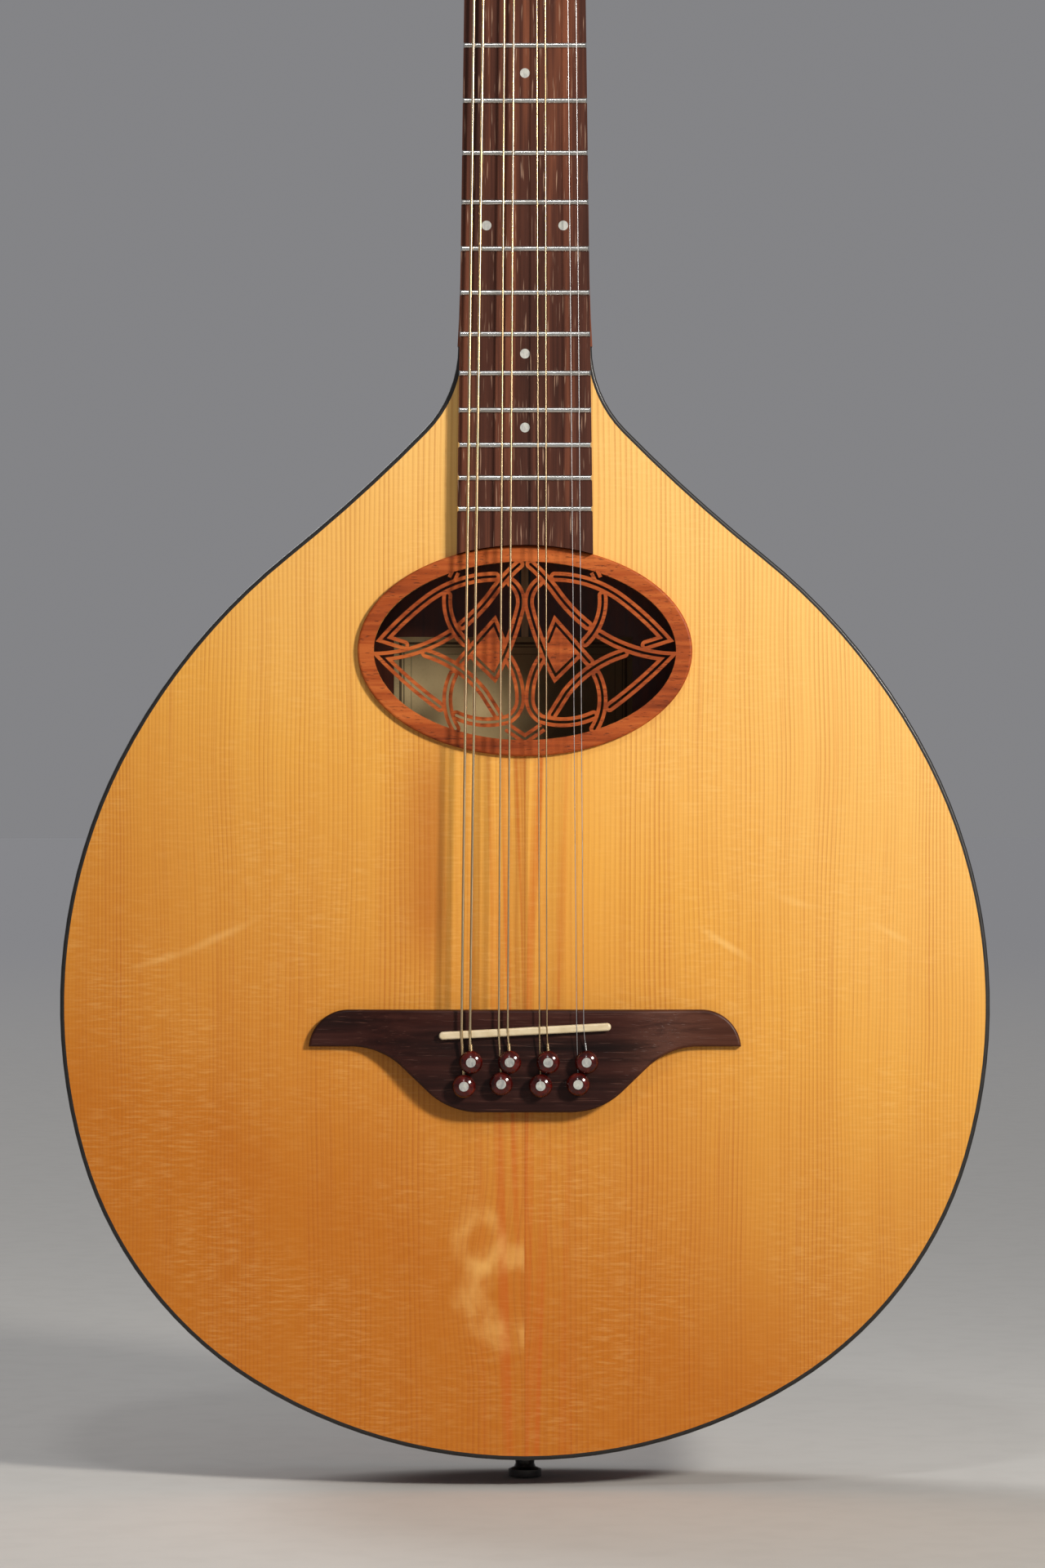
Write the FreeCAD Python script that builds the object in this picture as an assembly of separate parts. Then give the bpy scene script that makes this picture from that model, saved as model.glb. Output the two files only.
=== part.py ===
"""A flat-top, four-course long-necked lute (Irish bouzouki) with an oval fretwork rosette.

Frame: origin on the centre line at the front of the nut, level with the soundboard's face.
+Z runs up the neck to the head, +X to the treble side, and -Y out of the soundboard.
All lengths are in millimetres.
"""
import FreeCAD, Part
import math
import os

os.makedirs("parts", exist_ok=True)
V = FreeCAD.Vector

# ---------------------------------------------------------------- driving dimensions
SCALE_LENGTH = 648.0          # nut to the middle of the saddle
SADDLE_TO_TAIL = 178.6        # saddle to the tail end of the body
NUT_WIDTH = 44.5
BOARD_TAPER = 0.01335         # half width gained per millimetre down the fingerboard
BOARD_THICKNESS = 6.0
FRET_COUNT = 19

# The body's half outline, from the tail round to the neck: radius and turn in degrees of
# each tangent arc. A negative radius bends the other way.
BODY_ARCS = ((214.0, 31.8), (165.0, 41.9), (224.0, 43.3), (263.0, 24.2), (-663.0, 6.7), (-49.0, 44.5))
DEPTH_AT_TAIL = 88.0
DEPTH_AT_NECK = 76.0
TOP_THICKNESS = 3.0
BACK_THICKNESS = 3.0
SIDE_THICKNESS = 1.8
BINDING_DEPTH = 4.5
BINDING_ROUND = 1.1
LINING_WIDTH = 5.5
LINING_DEPTH = 12.0
BACK_STRIP_WIDTH = 5.0
NECK_BLOCK_LENGTH = 42.0
TAIL_BLOCK_LENGTH = 22.0
TAIL_BLOCK_HALF = 38.0

ROSETTE_Z = -490.4
ROSETTE_HALF_WIDTH = 69.5
ROSETTE_HALF_HEIGHT = 43.8
ROSETTE_RING = 6.75
ROSETTE_THICKNESS = 2.7
STRAND_WIDTH = 4.1
STRAND_SLOT = 1.1

BRIDGE_HEIGHT = 8.5
BRIDGE_TOP = 8.7              # bridge edges, measured from the saddle towards the nut
BRIDGE_WING = -6.6
BRIDGE_FOOT = -33.7
BRIDGE_FLAT_HALF = 73.0
BRIDGE_TIP_HALF = 89.7
BRIDGE_FOOT_HALF = 19.0
BRIDGE_WING_HALF = 72.0
WING_HEIGHT = 3.6
SADDLE_LENGTH = 71.3
SADDLE_WIDTH = 3.25
SADDLE_SLANT = 3.1            # degrees, bass end nearer the tail
SADDLE_HEIGHT = 11.6          # crown above the soundboard
SADDLE_SLOT_FLOOR = 2.5
PLATE_THICKNESS = 2.5

PIN_RADIUS = 2.6
PIN_TIP_RADIUS = 2.2
PIN_REACH = 16.0
PIN_COLLAR = 2.6
PIN_HEAD_RADIUS = 4.8
PIN_HEAD_HEIGHT = 4.2
PIN_DOT_RADIUS = 2.0
PIN_FIT = 0.05

NUT_LENGTH = 5.0
NUT_HEIGHT = 7.75
HEAD_TILT = 14.0
HEAD_THICKNESS = 14.0
HEADPLATE_THICKNESS = 2.0
HEAD_LENGTH = 172.0
NECK_THICKNESS_NUT = 14.5
NECK_THICKNESS_BODY = 16.5
HEEL_START = -300.0

TUNER_FIRST = 45.0            # first post along the head
TUNER_SPACING = 27.0
POST_X_FIRST = 24.5           # the head narrows, so each pair stands nearer the middle
POST_X_STEP = 2.0
POST_RADIUS = 3.0
POST_WAIST = 2.5
POST_FIT = 0.06
WORM_OFFSET = 6.3             # worm axis to post axis
TUNER_DEPTH = 5.2             # worm axis behind the back of the head
HOUSING_DEPTH = 10.0
COVER_THICKNESS = 1.2
TURN_TEETH = 15

# Strings from bass to treble: radius, place at the nut and at the saddle, and pin place.
# Every second pin stands in the row nearer the saddle.
STRINGS = (
    (0.585, -18.4, -26.2, -25.2, -170.6),
    (0.585, -14.4, -22.7, -22.3, -160.7),
    (0.430, -7.4, -10.8, -9.8, -169.6),
    (0.430, -3.3, -7.1, -6.3, -160.6),
    (0.280, 4.3, 6.0, 6.5, -170.4),
    (0.280, 8.0, 9.1, 9.6, -160.7),
    (0.150, 15.8, 21.4, 22.0, -169.8),
    (0.150, 19.5, 24.3, 25.5, -160.7),
)
PIN_DATUM = -500.0            # pin places are counted from here along Z
COURSES = (("g", 0), ("d", 2), ("a", 4), ("e", 6))


# ---------------------------------------------------------------- small helpers
def box(x0, x1, y0, y1, z0, z1):
    """Box between two corners."""
    return Part.makeBox(x1 - x0, y1 - y0, z1 - z0, V(x0, y0, z0))


def rod(radius, start, end):
    """Round bar between two points."""
    return Part.makeCylinder(radius, (end - start).Length, start, end - start)


def front_prism(points, front, back):
    """Prism of a straight-sided outline in X and Z."""
    corners = [V(x, front, z) for x, z in points]
    face = Part.Face(Part.makePolygon(corners + corners[:1]))
    return face.extrude(V(0, back - front, 0))


def spun(profile, base, axis):
    """Solid of revolution: the profile holds radius and height along the axis."""
    corners = [V(r, 0, h) for r, h in profile]
    face = Part.Face(Part.makePolygon(corners + corners[:1]))
    solid = face.revolve(V(0, 0, 0), V(0, 0, 1), 360)
    solid.Placement = FreeCAD.Placement(base, FreeCAD.Rotation(V(0, 0, 1), axis))
    return solid


def save(name, *shapes):
    """Write one node, as one solid or a group of separate solids."""
    solids = [solid for shape in shapes for solid in shape.Solids]
    node = solids[0] if len(solids) == 1 else Part.makeCompound(solids)
    node.exportStep(f"parts/{name}.step")


def try_round(shape, edges, radius):
    """Round these edges, or leave them sharp where the rounding will not close."""
    rounded = shape.makeFillet(radius, edges)
    return rounded if rounded.isValid() and rounded.Volume > 0 else shape


# ---------------------------------------------------------------- body outline
TAIL_Z = -(SCALE_LENGTH + SADDLE_TO_TAIL)


def outline_run(side, inset, y):
    """One half of the body outline, moved in by inset: its edges and its last point."""
    edges = []
    x = 0.0
    z = TAIL_Z + inset
    heading = 0.0
    for radius, turn in BODY_ARCS:
        way = math.copysign(1.0, radius)
        r = abs(radius) - way * inset
        centre_x = x - way * r * math.sin(heading)
        centre_z = z + way * r * math.cos(heading)
        points = []
        for share in (0.0, 0.5, 1.0):
            angle = heading + way * share * math.radians(turn)
            out = centre_x + way * r * math.sin(angle)
            up = centre_z - way * r * math.cos(angle)
            points.append(V(side * out, y, up))
        edges.append(Part.Arc(*points).toShape())
        x = side * points[2].x
        z = points[2].z
        heading += way * math.radians(turn)
    return edges, points[2]


END_Z = outline_run(1, 0.0, 0.0)[1].z


def body_prism(inset, front, back, beyond=0.0):
    """Solid inside the body outline, run on past the neck end by beyond."""
    right, right_end = outline_run(1, inset, front)
    left, left_end = outline_run(-1, inset, front)
    top_right = V(right_end.x, front, END_Z + beyond)
    top_left = V(left_end.x, front, END_Z + beyond)
    if beyond:
        right.append(Part.makeLine(right_end, top_right))
        left.append(Part.makeLine(left_end, top_left))
    edges = right + left + [Part.makeLine(top_right, top_left)]
    face = Part.Face(Part.Wire(Part.__sortEdges__(edges)))
    return face.extrude(V(0, back - front, 0))


BACK_SLOPE = math.atan((DEPTH_AT_TAIL - DEPTH_AT_NECK) / (END_Z - TAIL_Z))
BACK_PLACE = FreeCAD.Placement(
    V(0, DEPTH_AT_TAIL, TAIL_Z), FreeCAD.Rotation(V(1, 0, 0), math.degrees(BACK_SLOPE)))


def on_back(shape):
    """Carry a shape made against the plane Y = 0 on to the sloping back."""
    shape.Placement = BACK_PLACE.multiply(shape.Placement)
    return shape


def back_slab(outer, inner):
    """Everything between two depths under the back's outer face."""
    return on_back(box(-250, 250, -inner, -outer, -60, 560))


def ring(outer_inset, inner_inset, front, back):
    """Band that follows the outline and is open at the neck."""
    return body_prism(outer_inset, front, back).cut(body_prism(inner_inset, front - 1, back + 1, 5.0))


def halves(shape):
    """The bass side and the treble side of a shape."""
    bass = shape.common(box(-250, 0, -40, 140, TAIL_Z - 20, END_Z + 20))
    treble = shape.common(box(0, 250, -40, 140, TAIL_Z - 20, END_Z + 20))
    return bass, treble


# ---------------------------------------------------------------- strings
def string_x(nut_x, saddle_x, z):
    """Where a string runs across the neck at this height."""
    return nut_x + (saddle_x - nut_x) * (-z / SCALE_LENGTH)


def saddle_z(x):
    """Height of the slanted saddle at this place."""
    return -SCALE_LENGTH + x * math.tan(math.radians(SADDLE_SLANT))


def head_point(x, depth, along):
    """A point given along the tilted head and behind its front."""
    tilt = math.radians(HEAD_TILT)
    y = along * math.sin(tilt) + depth * math.cos(tilt)
    z = NUT_LENGTH + along * math.cos(tilt) - depth * math.sin(tilt)
    return V(x, y, z)


HEAD_PLACE = FreeCAD.Placement(V(0, 0, NUT_LENGTH), FreeCAD.Rotation(V(1, 0, 0), -HEAD_TILT))


def on_head(shape):
    """Carry a shape made upright on to the tilted head."""
    shape.Placement = HEAD_PLACE.multiply(shape.Placement)
    return shape


# String number to tuner: the outer strings go to the posts nearest the nut.
TUNER_PLACES = []
for number in range(8):
    side = -1 if number < 4 else 1
    step = number if number < 4 else 7 - number
    TUNER_PLACES.append((side, TUNER_FIRST + TUNER_SPACING * step, POST_X_FIRST - POST_X_STEP * step))

WIND_DEPTH = -8.6             # where the string meets its post, in front of the head's wood
WIND_GAP = 0.12


def string_route(number):
    """Corners of a string and the radius of each bend: ball, pin, saddle, nut, post."""
    radius, nut_x, end_x, pin_x, pin_place = STRINGS[number]
    pin_z = PIN_DATUM + pin_place
    hole_z = pin_z + PIN_RADIUS - radius - 0.15
    side, along, post_x = TUNER_PLACES[number]
    reach = POST_WAIST + radius + WIND_GAP
    corners = [
        V(pin_x, TOP_THICKNESS + PLATE_THICKNESS + 2.2, hole_z),
        V(pin_x, -BRIDGE_HEIGHT - radius - 0.1, hole_z),
        V(end_x, -SADDLE_HEIGHT, saddle_z(end_x)),
        V(nut_x, -NUT_HEIGHT, NUT_LENGTH / 2),
        head_point(side * (post_x - reach), WIND_DEPTH, along),
    ]
    return corners, (1.3 + radius, 2.5, 6.0), radius


def string_solid(number, extra=0.0):
    """A string as straight runs joined by arcs, thickened by extra to make its clearance."""
    corners, bends, radius = string_route(number)
    edges = []
    start = corners[0]
    for index, bend in enumerate(bends, 1):
        corner = corners[index]
        before = (corner - corners[index - 1]).normalize()
        after = (corners[index + 1] - corner).normalize()
        turn = before.getAngle(after)
        back = bend * math.tan(turn / 2)
        arc_start = corner - before * back
        arc_end = corner + after * back
        inward = (after - before).normalize()
        middle = corner + inward * (bend / math.cos(turn / 2) - bend)
        edges.append(Part.makeLine(start, arc_start))
        edges.append(Part.Arc(arc_start, middle, arc_end).toShape())
        start = arc_end
    edges.append(Part.makeLine(start, corners[-1]))
    path = Part.Wire(edges)
    direction = corners[1] - corners[0]
    section = Part.Wire(Part.makeCircle(radius + extra, corners[0], direction))
    return path.makePipeShell([section], True, True)


# ---------------------------------------------------------------- soundboard and pins
def pin_place(number):
    """Axis point of a bridge pin on the soundboard's face."""
    pin_x, place = STRINGS[number][3:]
    return V(pin_x, 0, PIN_DATUM + place)


def pin_holes(front, back):
    """The eight straight pin holes between two depths."""
    holes = []
    for number in range(8):
        place = pin_place(number)
        holes.append(rod(PIN_RADIUS + PIN_FIT, V(place.x, front, place.z), V(place.x, back, place.z)))
    return holes


def ellipse_prism(half_width, half_height, front, back):
    """Upright oval prism round the rosette's middle."""
    oval = Part.Ellipse(V(half_width, front, ROSETTE_Z), V(0, front, ROSETTE_Z + half_height),
                        V(0, front, ROSETTE_Z))
    face = Part.Face(Part.Wire(oval.toShape()))
    return face.extrude(V(0, back - front, 0))


CLEAR_STRINGS = [string_solid(number, 0.06) for number in range(8)]
SOUND_HOLE = (ROSETTE_HALF_WIDTH - ROSETTE_RING, ROSETTE_HALF_HEIGHT - ROSETTE_RING)

top = body_prism(SIDE_THICKNESS, 0.0, TOP_THICKNESS)
top = top.cut([ellipse_prism(*SOUND_HOLE, -1, TOP_THICKNESS + 1)] + pin_holes(-1, TOP_THICKNESS + 1))
top_bass, top_treble = halves(top)
save("soundboard_bass_half", top_bass)
save("soundboard_treble_half", top_treble)

# ---------------------------------------------------------------- bindings, sides and back
edging = body_prism(0.0, 0.0, BINDING_DEPTH)
front_edges = [edge for edge in edging.Edges
               if max(abs(v.Y) for v in edge.Vertexes) < 0.01 and edge.Curve.TypeId == "Part::GeomCircle"]
edging = try_round(edging, front_edges, BINDING_ROUND)
save("top_binding", edging.cut(body_prism(SIDE_THICKNESS, -1, BINDING_DEPTH + 1, 5.0)))

edging = body_prism(0.0, 60.0, 100.0).common(back_slab(0.0, BINDING_DEPTH))
back_edges = []
for edge in edging.Edges:
    middle = edge.valueAt((edge.FirstParameter + edge.LastParameter) / 2)
    local = BACK_PLACE.inverse().multVec(middle)
    if abs(local.y) < 0.01 and middle.z < END_Z - 0.5:
        back_edges.append(edge)
edging = try_round(edging, back_edges, BINDING_ROUND)
save("back_binding", edging.cut(body_prism(SIDE_THICKNESS, 50, 110, 5.0)))

shell = ring(0.0, SIDE_THICKNESS, BINDING_DEPTH, 100.0).common(back_slab(BINDING_DEPTH, 120.0))
SCREW_RADIUS = 2.0
button_y = DEPTH_AT_TAIL / 2
screw_hole = rod(SCREW_RADIUS + PIN_FIT, V(0, button_y, TAIL_Z - 5), V(0, button_y, TAIL_Z + 19))
side_bass, side_treble = halves(shell.cut(screw_hole))
save("side_bass", side_bass)
save("side_treble", side_treble)

plate = body_prism(SIDE_THICKNESS, 60.0, 100.0).common(back_slab(0.0, BACK_THICKNESS))
strip_half = BACK_STRIP_WIDTH / 2
strip_zone = box(-strip_half, strip_half, 50, 110, TAIL_Z - 5, END_Z + 5)
save("back_centre_strip", plate.common(strip_zone))
back_bass, back_treble = halves(plate.cut(strip_zone))
save("back_bass_half", back_bass)
save("back_treble_half", back_treble)

# ---------------------------------------------------------------- blocks, linings and braces
inside = body_prism(SIDE_THICKNESS, TOP_THICKNESS, 100.0).common(back_slab(BACK_THICKNESS, 120.0))
neck_zone = box(-60, 60, -5, 110, END_Z - NECK_BLOCK_LENGTH, END_Z + 5)
tail_zone = box(-TAIL_BLOCK_HALF, TAIL_BLOCK_HALF, -5, 110, TAIL_Z - 5, TAIL_Z + TAIL_BLOCK_LENGTH)
BOLT_RADIUS = 2.95
BOLT_FIT = 0.05
BOLT_DEPTHS = (16.0, 37.0)
BOLT_REACH = 15.0
bolt_bottom = END_Z - NECK_BLOCK_LENGTH
bolt_holes = []
for y in BOLT_DEPTHS:
    hole_start = V(0, y, bolt_bottom - 5)
    bolt_holes.append(rod(BOLT_RADIUS + BOLT_FIT, hole_start, V(0, y, END_Z + BOLT_REACH + 1)))
save("neck_block", inside.common(neck_zone).cut(bolt_holes))
save("tail_block", inside.common(tail_zone).cut(screw_hole))

lining_ring = ring(SIDE_THICKNESS, SIDE_THICKNESS + LINING_WIDTH, TOP_THICKNESS, 100.0)
blocks = [neck_zone, tail_zone]
top_lining = lining_ring.common(box(-250, 250, 0, TOP_THICKNESS + LINING_DEPTH, TAIL_Z - 5, END_Z))
save("top_linings", top_lining.cut(blocks))
back_lining = lining_ring.common(back_slab(BACK_THICKNESS, BACK_THICKNESS + LINING_DEPTH))
save("back_linings", back_lining.cut(blocks))

BRACE_WIDTH = 8.0
BRACE_HEIGHT = 12.0
brace_room = body_prism(SIDE_THICKNESS + LINING_WIDTH + 0.2, -5, 110)


def brace_bar(z, half_length, outer):
    """Bar across the body with a ridged inner edge, standing in from Y = outer towards +Y."""
    half = BRACE_WIDTH / 2
    profile = ((-half, 0), (half, 0), (half, 0.55 * BRACE_HEIGHT), (0.8, BRACE_HEIGHT),
               (-0.8, BRACE_HEIGHT), (-half, 0.55 * BRACE_HEIGHT))
    corners = [V(-half_length, outer + depth, z + across) for across, depth in profile]
    face = Part.Face(Part.makePolygon(corners + corners[:1]))
    return face.extrude(V(2 * half_length, 0, 0))


braces = []
for z in (ROSETTE_Z + 58, ROSETTE_Z - 56, -SCALE_LENGTH - 62, -SCALE_LENGTH - 118):
    braces.append(brace_bar(z, 195.0, TOP_THICKNESS).common(brace_room))
save("soundboard_braces", *braces)

braces = []
for along in (48.0, 145.0, 250.0, 385.0):
    bar = brace_bar(along, 195.0, 0.0)
    bar.rotate(V(0, 0, along), V(0, 0, 1), 180)
    bar.translate(V(0, -BACK_THICKNESS, 0))
    braces.append(on_back(bar).common(brace_room))
save("back_braces", *braces)

under = TOP_THICKNESS + PLATE_THICKNESS
plate = box(-48, 48, TOP_THICKNESS, under, -SCALE_LENGTH - 36, -SCALE_LENGTH - 4)
save("bridge_plate", plate.cut(pin_holes(TOP_THICKNESS - 1, under + 1)))

LABEL_THICKNESS = 0.3
LABEL_LEFT = -56.0
LABEL_RIGHT = 46.0
LABEL_TOP = ROSETTE_Z + 7.8
LABEL_HEIGHT = 74.0
label = box(LABEL_LEFT, LABEL_RIGHT, -BACK_THICKNESS - LABEL_THICKNESS, -BACK_THICKNESS,
            LABEL_TOP - TAIL_Z - LABEL_HEIGHT, LABEL_TOP - TAIL_Z)
save("paper_label", on_back(label))

# ---------------------------------------------------------------- rosette
# Strands of the treble half, from the rosette's middle: (kind, points) pieces. An arc has
# three points and a line has two. Pieces of one strand join end to end.
ARC = "arc"
LINE = "line"
STRANDS = (
    ((ARC, (12.3, 30.7), (25.9, 28.7), (40.4, 21.4)), (ARC, (40.4, 21.4), (45.3, 17.5), (58.3, 4.9)),
     (LINE, (58.3, 4.9), (50.1, 2.3))),
    ((ARC, (2.3, 35.9), (5.5, 33.0), (13.3, 23.9)), (ARC, (13.3, 23.9), (22.9, 13.2), (26.1, 10.5))),
    ((ARC, (32.2, 22.9), (28.8, 8.3), (24.9, 3.5)),),
    ((ARC, (5.7, 28.4), (2.1, 23.3), (2.0, 17.5)), (ARC, (2.0, 17.5), (4.5, 8.8), (12.7, -10.2)),
     (LINE, (12.7, -10.2), (21.0, -2.1))),
    ((LINE, (9.8, 3.7), (12.8, 11.0)), (LINE, (12.8, 11.0), (26.8, -4.8))),
    ((ARC, (30.9, 6.9), (40.4, 2.0), (59.3, -2.4)), (ARC, (59.3, -2.4), (45.3, -15.4), (35.1, -23.4))),
    ((ARC, (41.1, -1.0), (32.6, -4.5), (17.1, -17.4)), (LINE, (17.1, -17.4), (11.3, -26.6))),
    ((ARC, (29.7, -9.8), (32.1, -22.7), (28.8, -32.4)),),
    ((ARC, (6.7, -3.6), (3.1, -11.5), (2.0, -19.3)), (ARC, (2.0, -19.3), (2.6, -23.5), (6.5, -28.3)),
     (ARC, (6.5, -28.3), (13.3, -29.6), (28.5, -26.8))),
    ((LINE, (7.4, -31.7), (0.0, -36.7)),),
    ((LINE, (28.8, 32.8), (30.2, 29.9)),),
)
PANEL = ((13.2, 9.2), (9.2, 1.0), (12.6, -8.1), (21.7, -0.7))
DIAMONDS = (((0.0, 34.6), (4.1, 30.9), (0.0, 25.3), (-4.1, 30.9)),
            ((0.0, -25.8), (4.2, -29.7), (0.0, -33.6), (-4.2, -29.7)))
WEDGE = ((57.5, 0.7), (62.0, 1.9), (62.1, -0.3))


def rosette_point(point, y):
    """A point counted from the rosette's middle."""
    return V(point[0], y, ROSETTE_Z + point[1])


def strand_wire(pieces, y):
    """Centre line of one strand."""
    edges = []
    for kind, *points in pieces:
        places = [rosette_point(point, y) for point in points]
        edges.append(Part.Arc(*places).toShape() if kind == ARC else Part.makeLine(*places))
    return Part.Wire(edges)


def strand_band(pieces, width, front, back):
    """Band of this width along a strand."""
    if len(pieces) == 1 and pieces[0][0] == LINE:
        start, end = [rosette_point(point, front) for point in pieces[0][1:]]
        along = (end - start).normalize()
        across = V(along.z, 0, -along.x) * (width / 2)
        corners = [start + across, start - across, end - across, end + across]
        face = Part.Face(Part.makePolygon(corners + corners[:1]))
        return face.extrude(V(0, back - front, 0))
    sharp = 2 if len(pieces) > 1 else 0
    edge = strand_wire(pieces, front).makeOffset2D(width / 2, sharp, False, False)
    return Part.Face(edge).extrude(V(0, back - front, 0))


def rosette_prism(points, front, back):
    """Straight-sided prism in the rosette."""
    return front_prism([(x, ROSETTE_Z + z) for x, z in points], front, back)


def mirrored(shape):
    """The same shape on the bass side."""
    return shape.mirror(V(0, 0, 0), V(1, 0, 0))


front = -ROSETTE_THICKNESS
ring_outer = ellipse_prism(ROSETTE_HALF_WIDTH, ROSETTE_HALF_HEIGHT, front, 0.0)
ring_rim = [edge for edge in ring_outer.Edges if edge.isClosed()
            and abs(edge.valueAt(edge.FirstParameter).y - front) < 0.01]
ring_outer = try_round(ring_outer, ring_rim, 1.0)
opening = ellipse_prism(*SOUND_HOLE, front - 1, 1.0)
bands = [strand_band(pieces, STRAND_WIDTH, front, 0.0) for pieces in STRANDS]
bands.append(rosette_prism(PANEL, front, 0.0))
web = bands[0].multiFuse(bands[1:])
web = web.fuse(mirrored(web)).common(opening)
slots = [strand_band(pieces, STRAND_SLOT, front - 1, 1.0) for pieces in STRANDS]
slots.append(rosette_prism(WEDGE, front - 1, 1.0))
slots += [mirrored(slot) for slot in slots]
slots += [rosette_prism(points, front - 1, 1.0) for points in DIAMONDS]
rosette = ring_outer.cut(opening).fuse(web).cut(slots)
rosette = rosette.removeSplitter()
save("soundhole_rosette", max(rosette.Solids, key=lambda solid: solid.Volume))

# ---------------------------------------------------------------- bridge and saddle
BELLY_RADIUS = 30.8           # the two arcs under each wing
BELLY_TURN = 45.0
SHOULDER = (84.6, 4.2)        # a point on the round end above each wing tip
SWELL_START = 36.0            # the level middle ends here
SWELL_END = 80.0              # and the thin wing begins here
BRIDGE_ROUND = 1.2


def belly_point(centre, across, up, turn):
    """A point on a belly arc: across and up are the signs of its way from its centre."""
    angle = math.radians(turn)
    x = centre[0] + across * BELLY_RADIUS * math.sin(angle)
    z = centre[1] + up * BELLY_RADIUS * math.cos(angle)
    return x, z


def bridge_outline(side):
    """One half of the bridge's outline, from the middle of the top edge to the middle of the foot."""
    base = -SCALE_LENGTH
    wing = base + BRIDGE_WING
    foot = base + BRIDGE_FOOT
    outer_centre = (BRIDGE_WING_HALF, wing - BELLY_RADIUS)
    inner_centre = (BRIDGE_FOOT_HALF, foot + BELLY_RADIUS)
    turns = (0.0, BELLY_TURN / 2, BELLY_TURN)

    def at(point):
        return V(side * point[0], 0, point[1])

    shoulder = [(BRIDGE_FLAT_HALF, base + BRIDGE_TOP), (SHOULDER[0], base + SHOULDER[1]),
                (BRIDGE_TIP_HALF, wing)]
    outer = [at(belly_point(outer_centre, -1, 1, turn)) for turn in turns]
    inner = [at(belly_point(inner_centre, 1, -1, turn)) for turn in reversed(turns)]
    return [
        Part.makeLine(V(0, 0, base + BRIDGE_TOP), at(shoulder[0])),
        Part.Arc(*[at(point) for point in shoulder]).toShape(),
        Part.makeLine(at(shoulder[2]), outer[0]),
        Part.Arc(*outer).toShape(),
        Part.makeLine(outer[2], inner[0]),
        Part.Arc(*inner).toShape(),
        Part.makeLine(inner[2], V(0, 0, foot)),
    ]


def bridge_swell():
    """The bridge seen along the neck: level in the middle, falling in two smooth arcs to thin wings."""
    run = SWELL_END - SWELL_START
    drop = BRIDGE_HEIGHT - WING_HEIGHT
    radius = (run ** 2 + drop ** 2) / (4 * drop)
    half_turn = math.asin(run / 2 / radius) / 2
    across = radius * math.sin(half_turn)
    fall = radius * (1 - math.cos(half_turn))
    middle = ((SWELL_START + SWELL_END) / 2, (BRIDGE_HEIGHT + WING_HEIGHT) / 2)
    end = BRIDGE_TIP_HALF + 1
    edges = [Part.makeLine(V(-end, 1, 0), V(end, 1, 0)),
             Part.makeLine(V(-SWELL_START, -BRIDGE_HEIGHT, 0), V(SWELL_START, -BRIDGE_HEIGHT, 0))]
    for side in (-1, 1):
        corner = V(side * middle[0], -middle[1], 0)
        edges.append(Part.Arc(V(side * SWELL_START, -BRIDGE_HEIGHT, 0),
                              V(side * (SWELL_START + across), -BRIDGE_HEIGHT + fall, 0), corner).toShape())
        edges.append(Part.Arc(corner, V(side * (SWELL_END - across), -WING_HEIGHT - fall, 0),
                              V(side * SWELL_END, -WING_HEIGHT, 0)).toShape())
        edges.append(Part.makeLine(V(side * SWELL_END, -WING_HEIGHT, 0), V(side * end, -WING_HEIGHT, 0)))
        edges.append(Part.makeLine(V(side * end, -WING_HEIGHT, 0), V(side * end, 1, 0)))
    solid = Part.Face(Part.Wire(Part.__sortEdges__(edges))).extrude(V(0, 0, BRIDGE_TOP - BRIDGE_FOOT + 2))
    solid.translate(V(0, 0, -SCALE_LENGTH + BRIDGE_FOOT - 1))
    return solid


def bridge_blank():
    """The bridge before its slot and holes, with its upper rim rounded."""
    rim = Part.Wire(Part.__sortEdges__(bridge_outline(1) + bridge_outline(-1)))
    blank = Part.Face(rim).extrude(V(0, -BRIDGE_HEIGHT - 1, 0)).common(bridge_swell())
    upper = []
    for edge in blank.Edges:
        middle = edge.valueAt((edge.FirstParameter + edge.LastParameter) / 2)
        over_rim = rim.distToShape(Part.Vertex(V(middle.x, 0, middle.z)))[0] < 0.001
        level = abs(edge.tangentAt((edge.FirstParameter + edge.LastParameter) / 2).y) < 0.9
        if over_rim and level and middle.y < -WING_HEIGHT / 2:
            upper.append(edge)
    return try_round(blank, upper, BRIDGE_ROUND)


def saddle_prism(length, width, front, back):
    """Bar with round ends along the slanted saddle."""
    half = length / 2 - width / 2
    middle = box(-half, half, front, back, -width / 2, width / 2)
    ends = [rod(width / 2, V(side * half, front, 0), V(side * half, back, 0)) for side in (-1, 1)]
    bar = middle.fuse(ends).removeSplitter()
    bar.Placement = FreeCAD.Placement(V(0, 0, -SCALE_LENGTH), FreeCAD.Rotation(V(0, 1, 0), -SADDLE_SLANT))
    return bar


SLOT_FIT = 0.04
SADDLE_ROUND = 0.9
saddle = saddle_prism(SADDLE_LENGTH, SADDLE_WIDTH, -SADDLE_HEIGHT, -SADDLE_SLOT_FLOOR)
crown = [edge for edge in saddle.Edges if abs(edge.valueAt(edge.FirstParameter).y + SADDLE_HEIGHT) < 0.01
         and abs(edge.valueAt(edge.LastParameter).y + SADDLE_HEIGHT) < 0.01]
saddle = try_round(saddle, crown, SADDLE_ROUND)
save("saddle", saddle.cut(CLEAR_STRINGS))

slot = saddle_prism(SADDLE_LENGTH + SLOT_FIT, SADDLE_WIDTH + SLOT_FIT,
                    -BRIDGE_HEIGHT - 1, -SADDLE_SLOT_FLOOR)
bridge = bridge_blank().cut(slot).cut(pin_holes(-BRIDGE_HEIGHT - 1, 1)).cut(CLEAR_STRINGS)
save("bridge", bridge)

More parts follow.
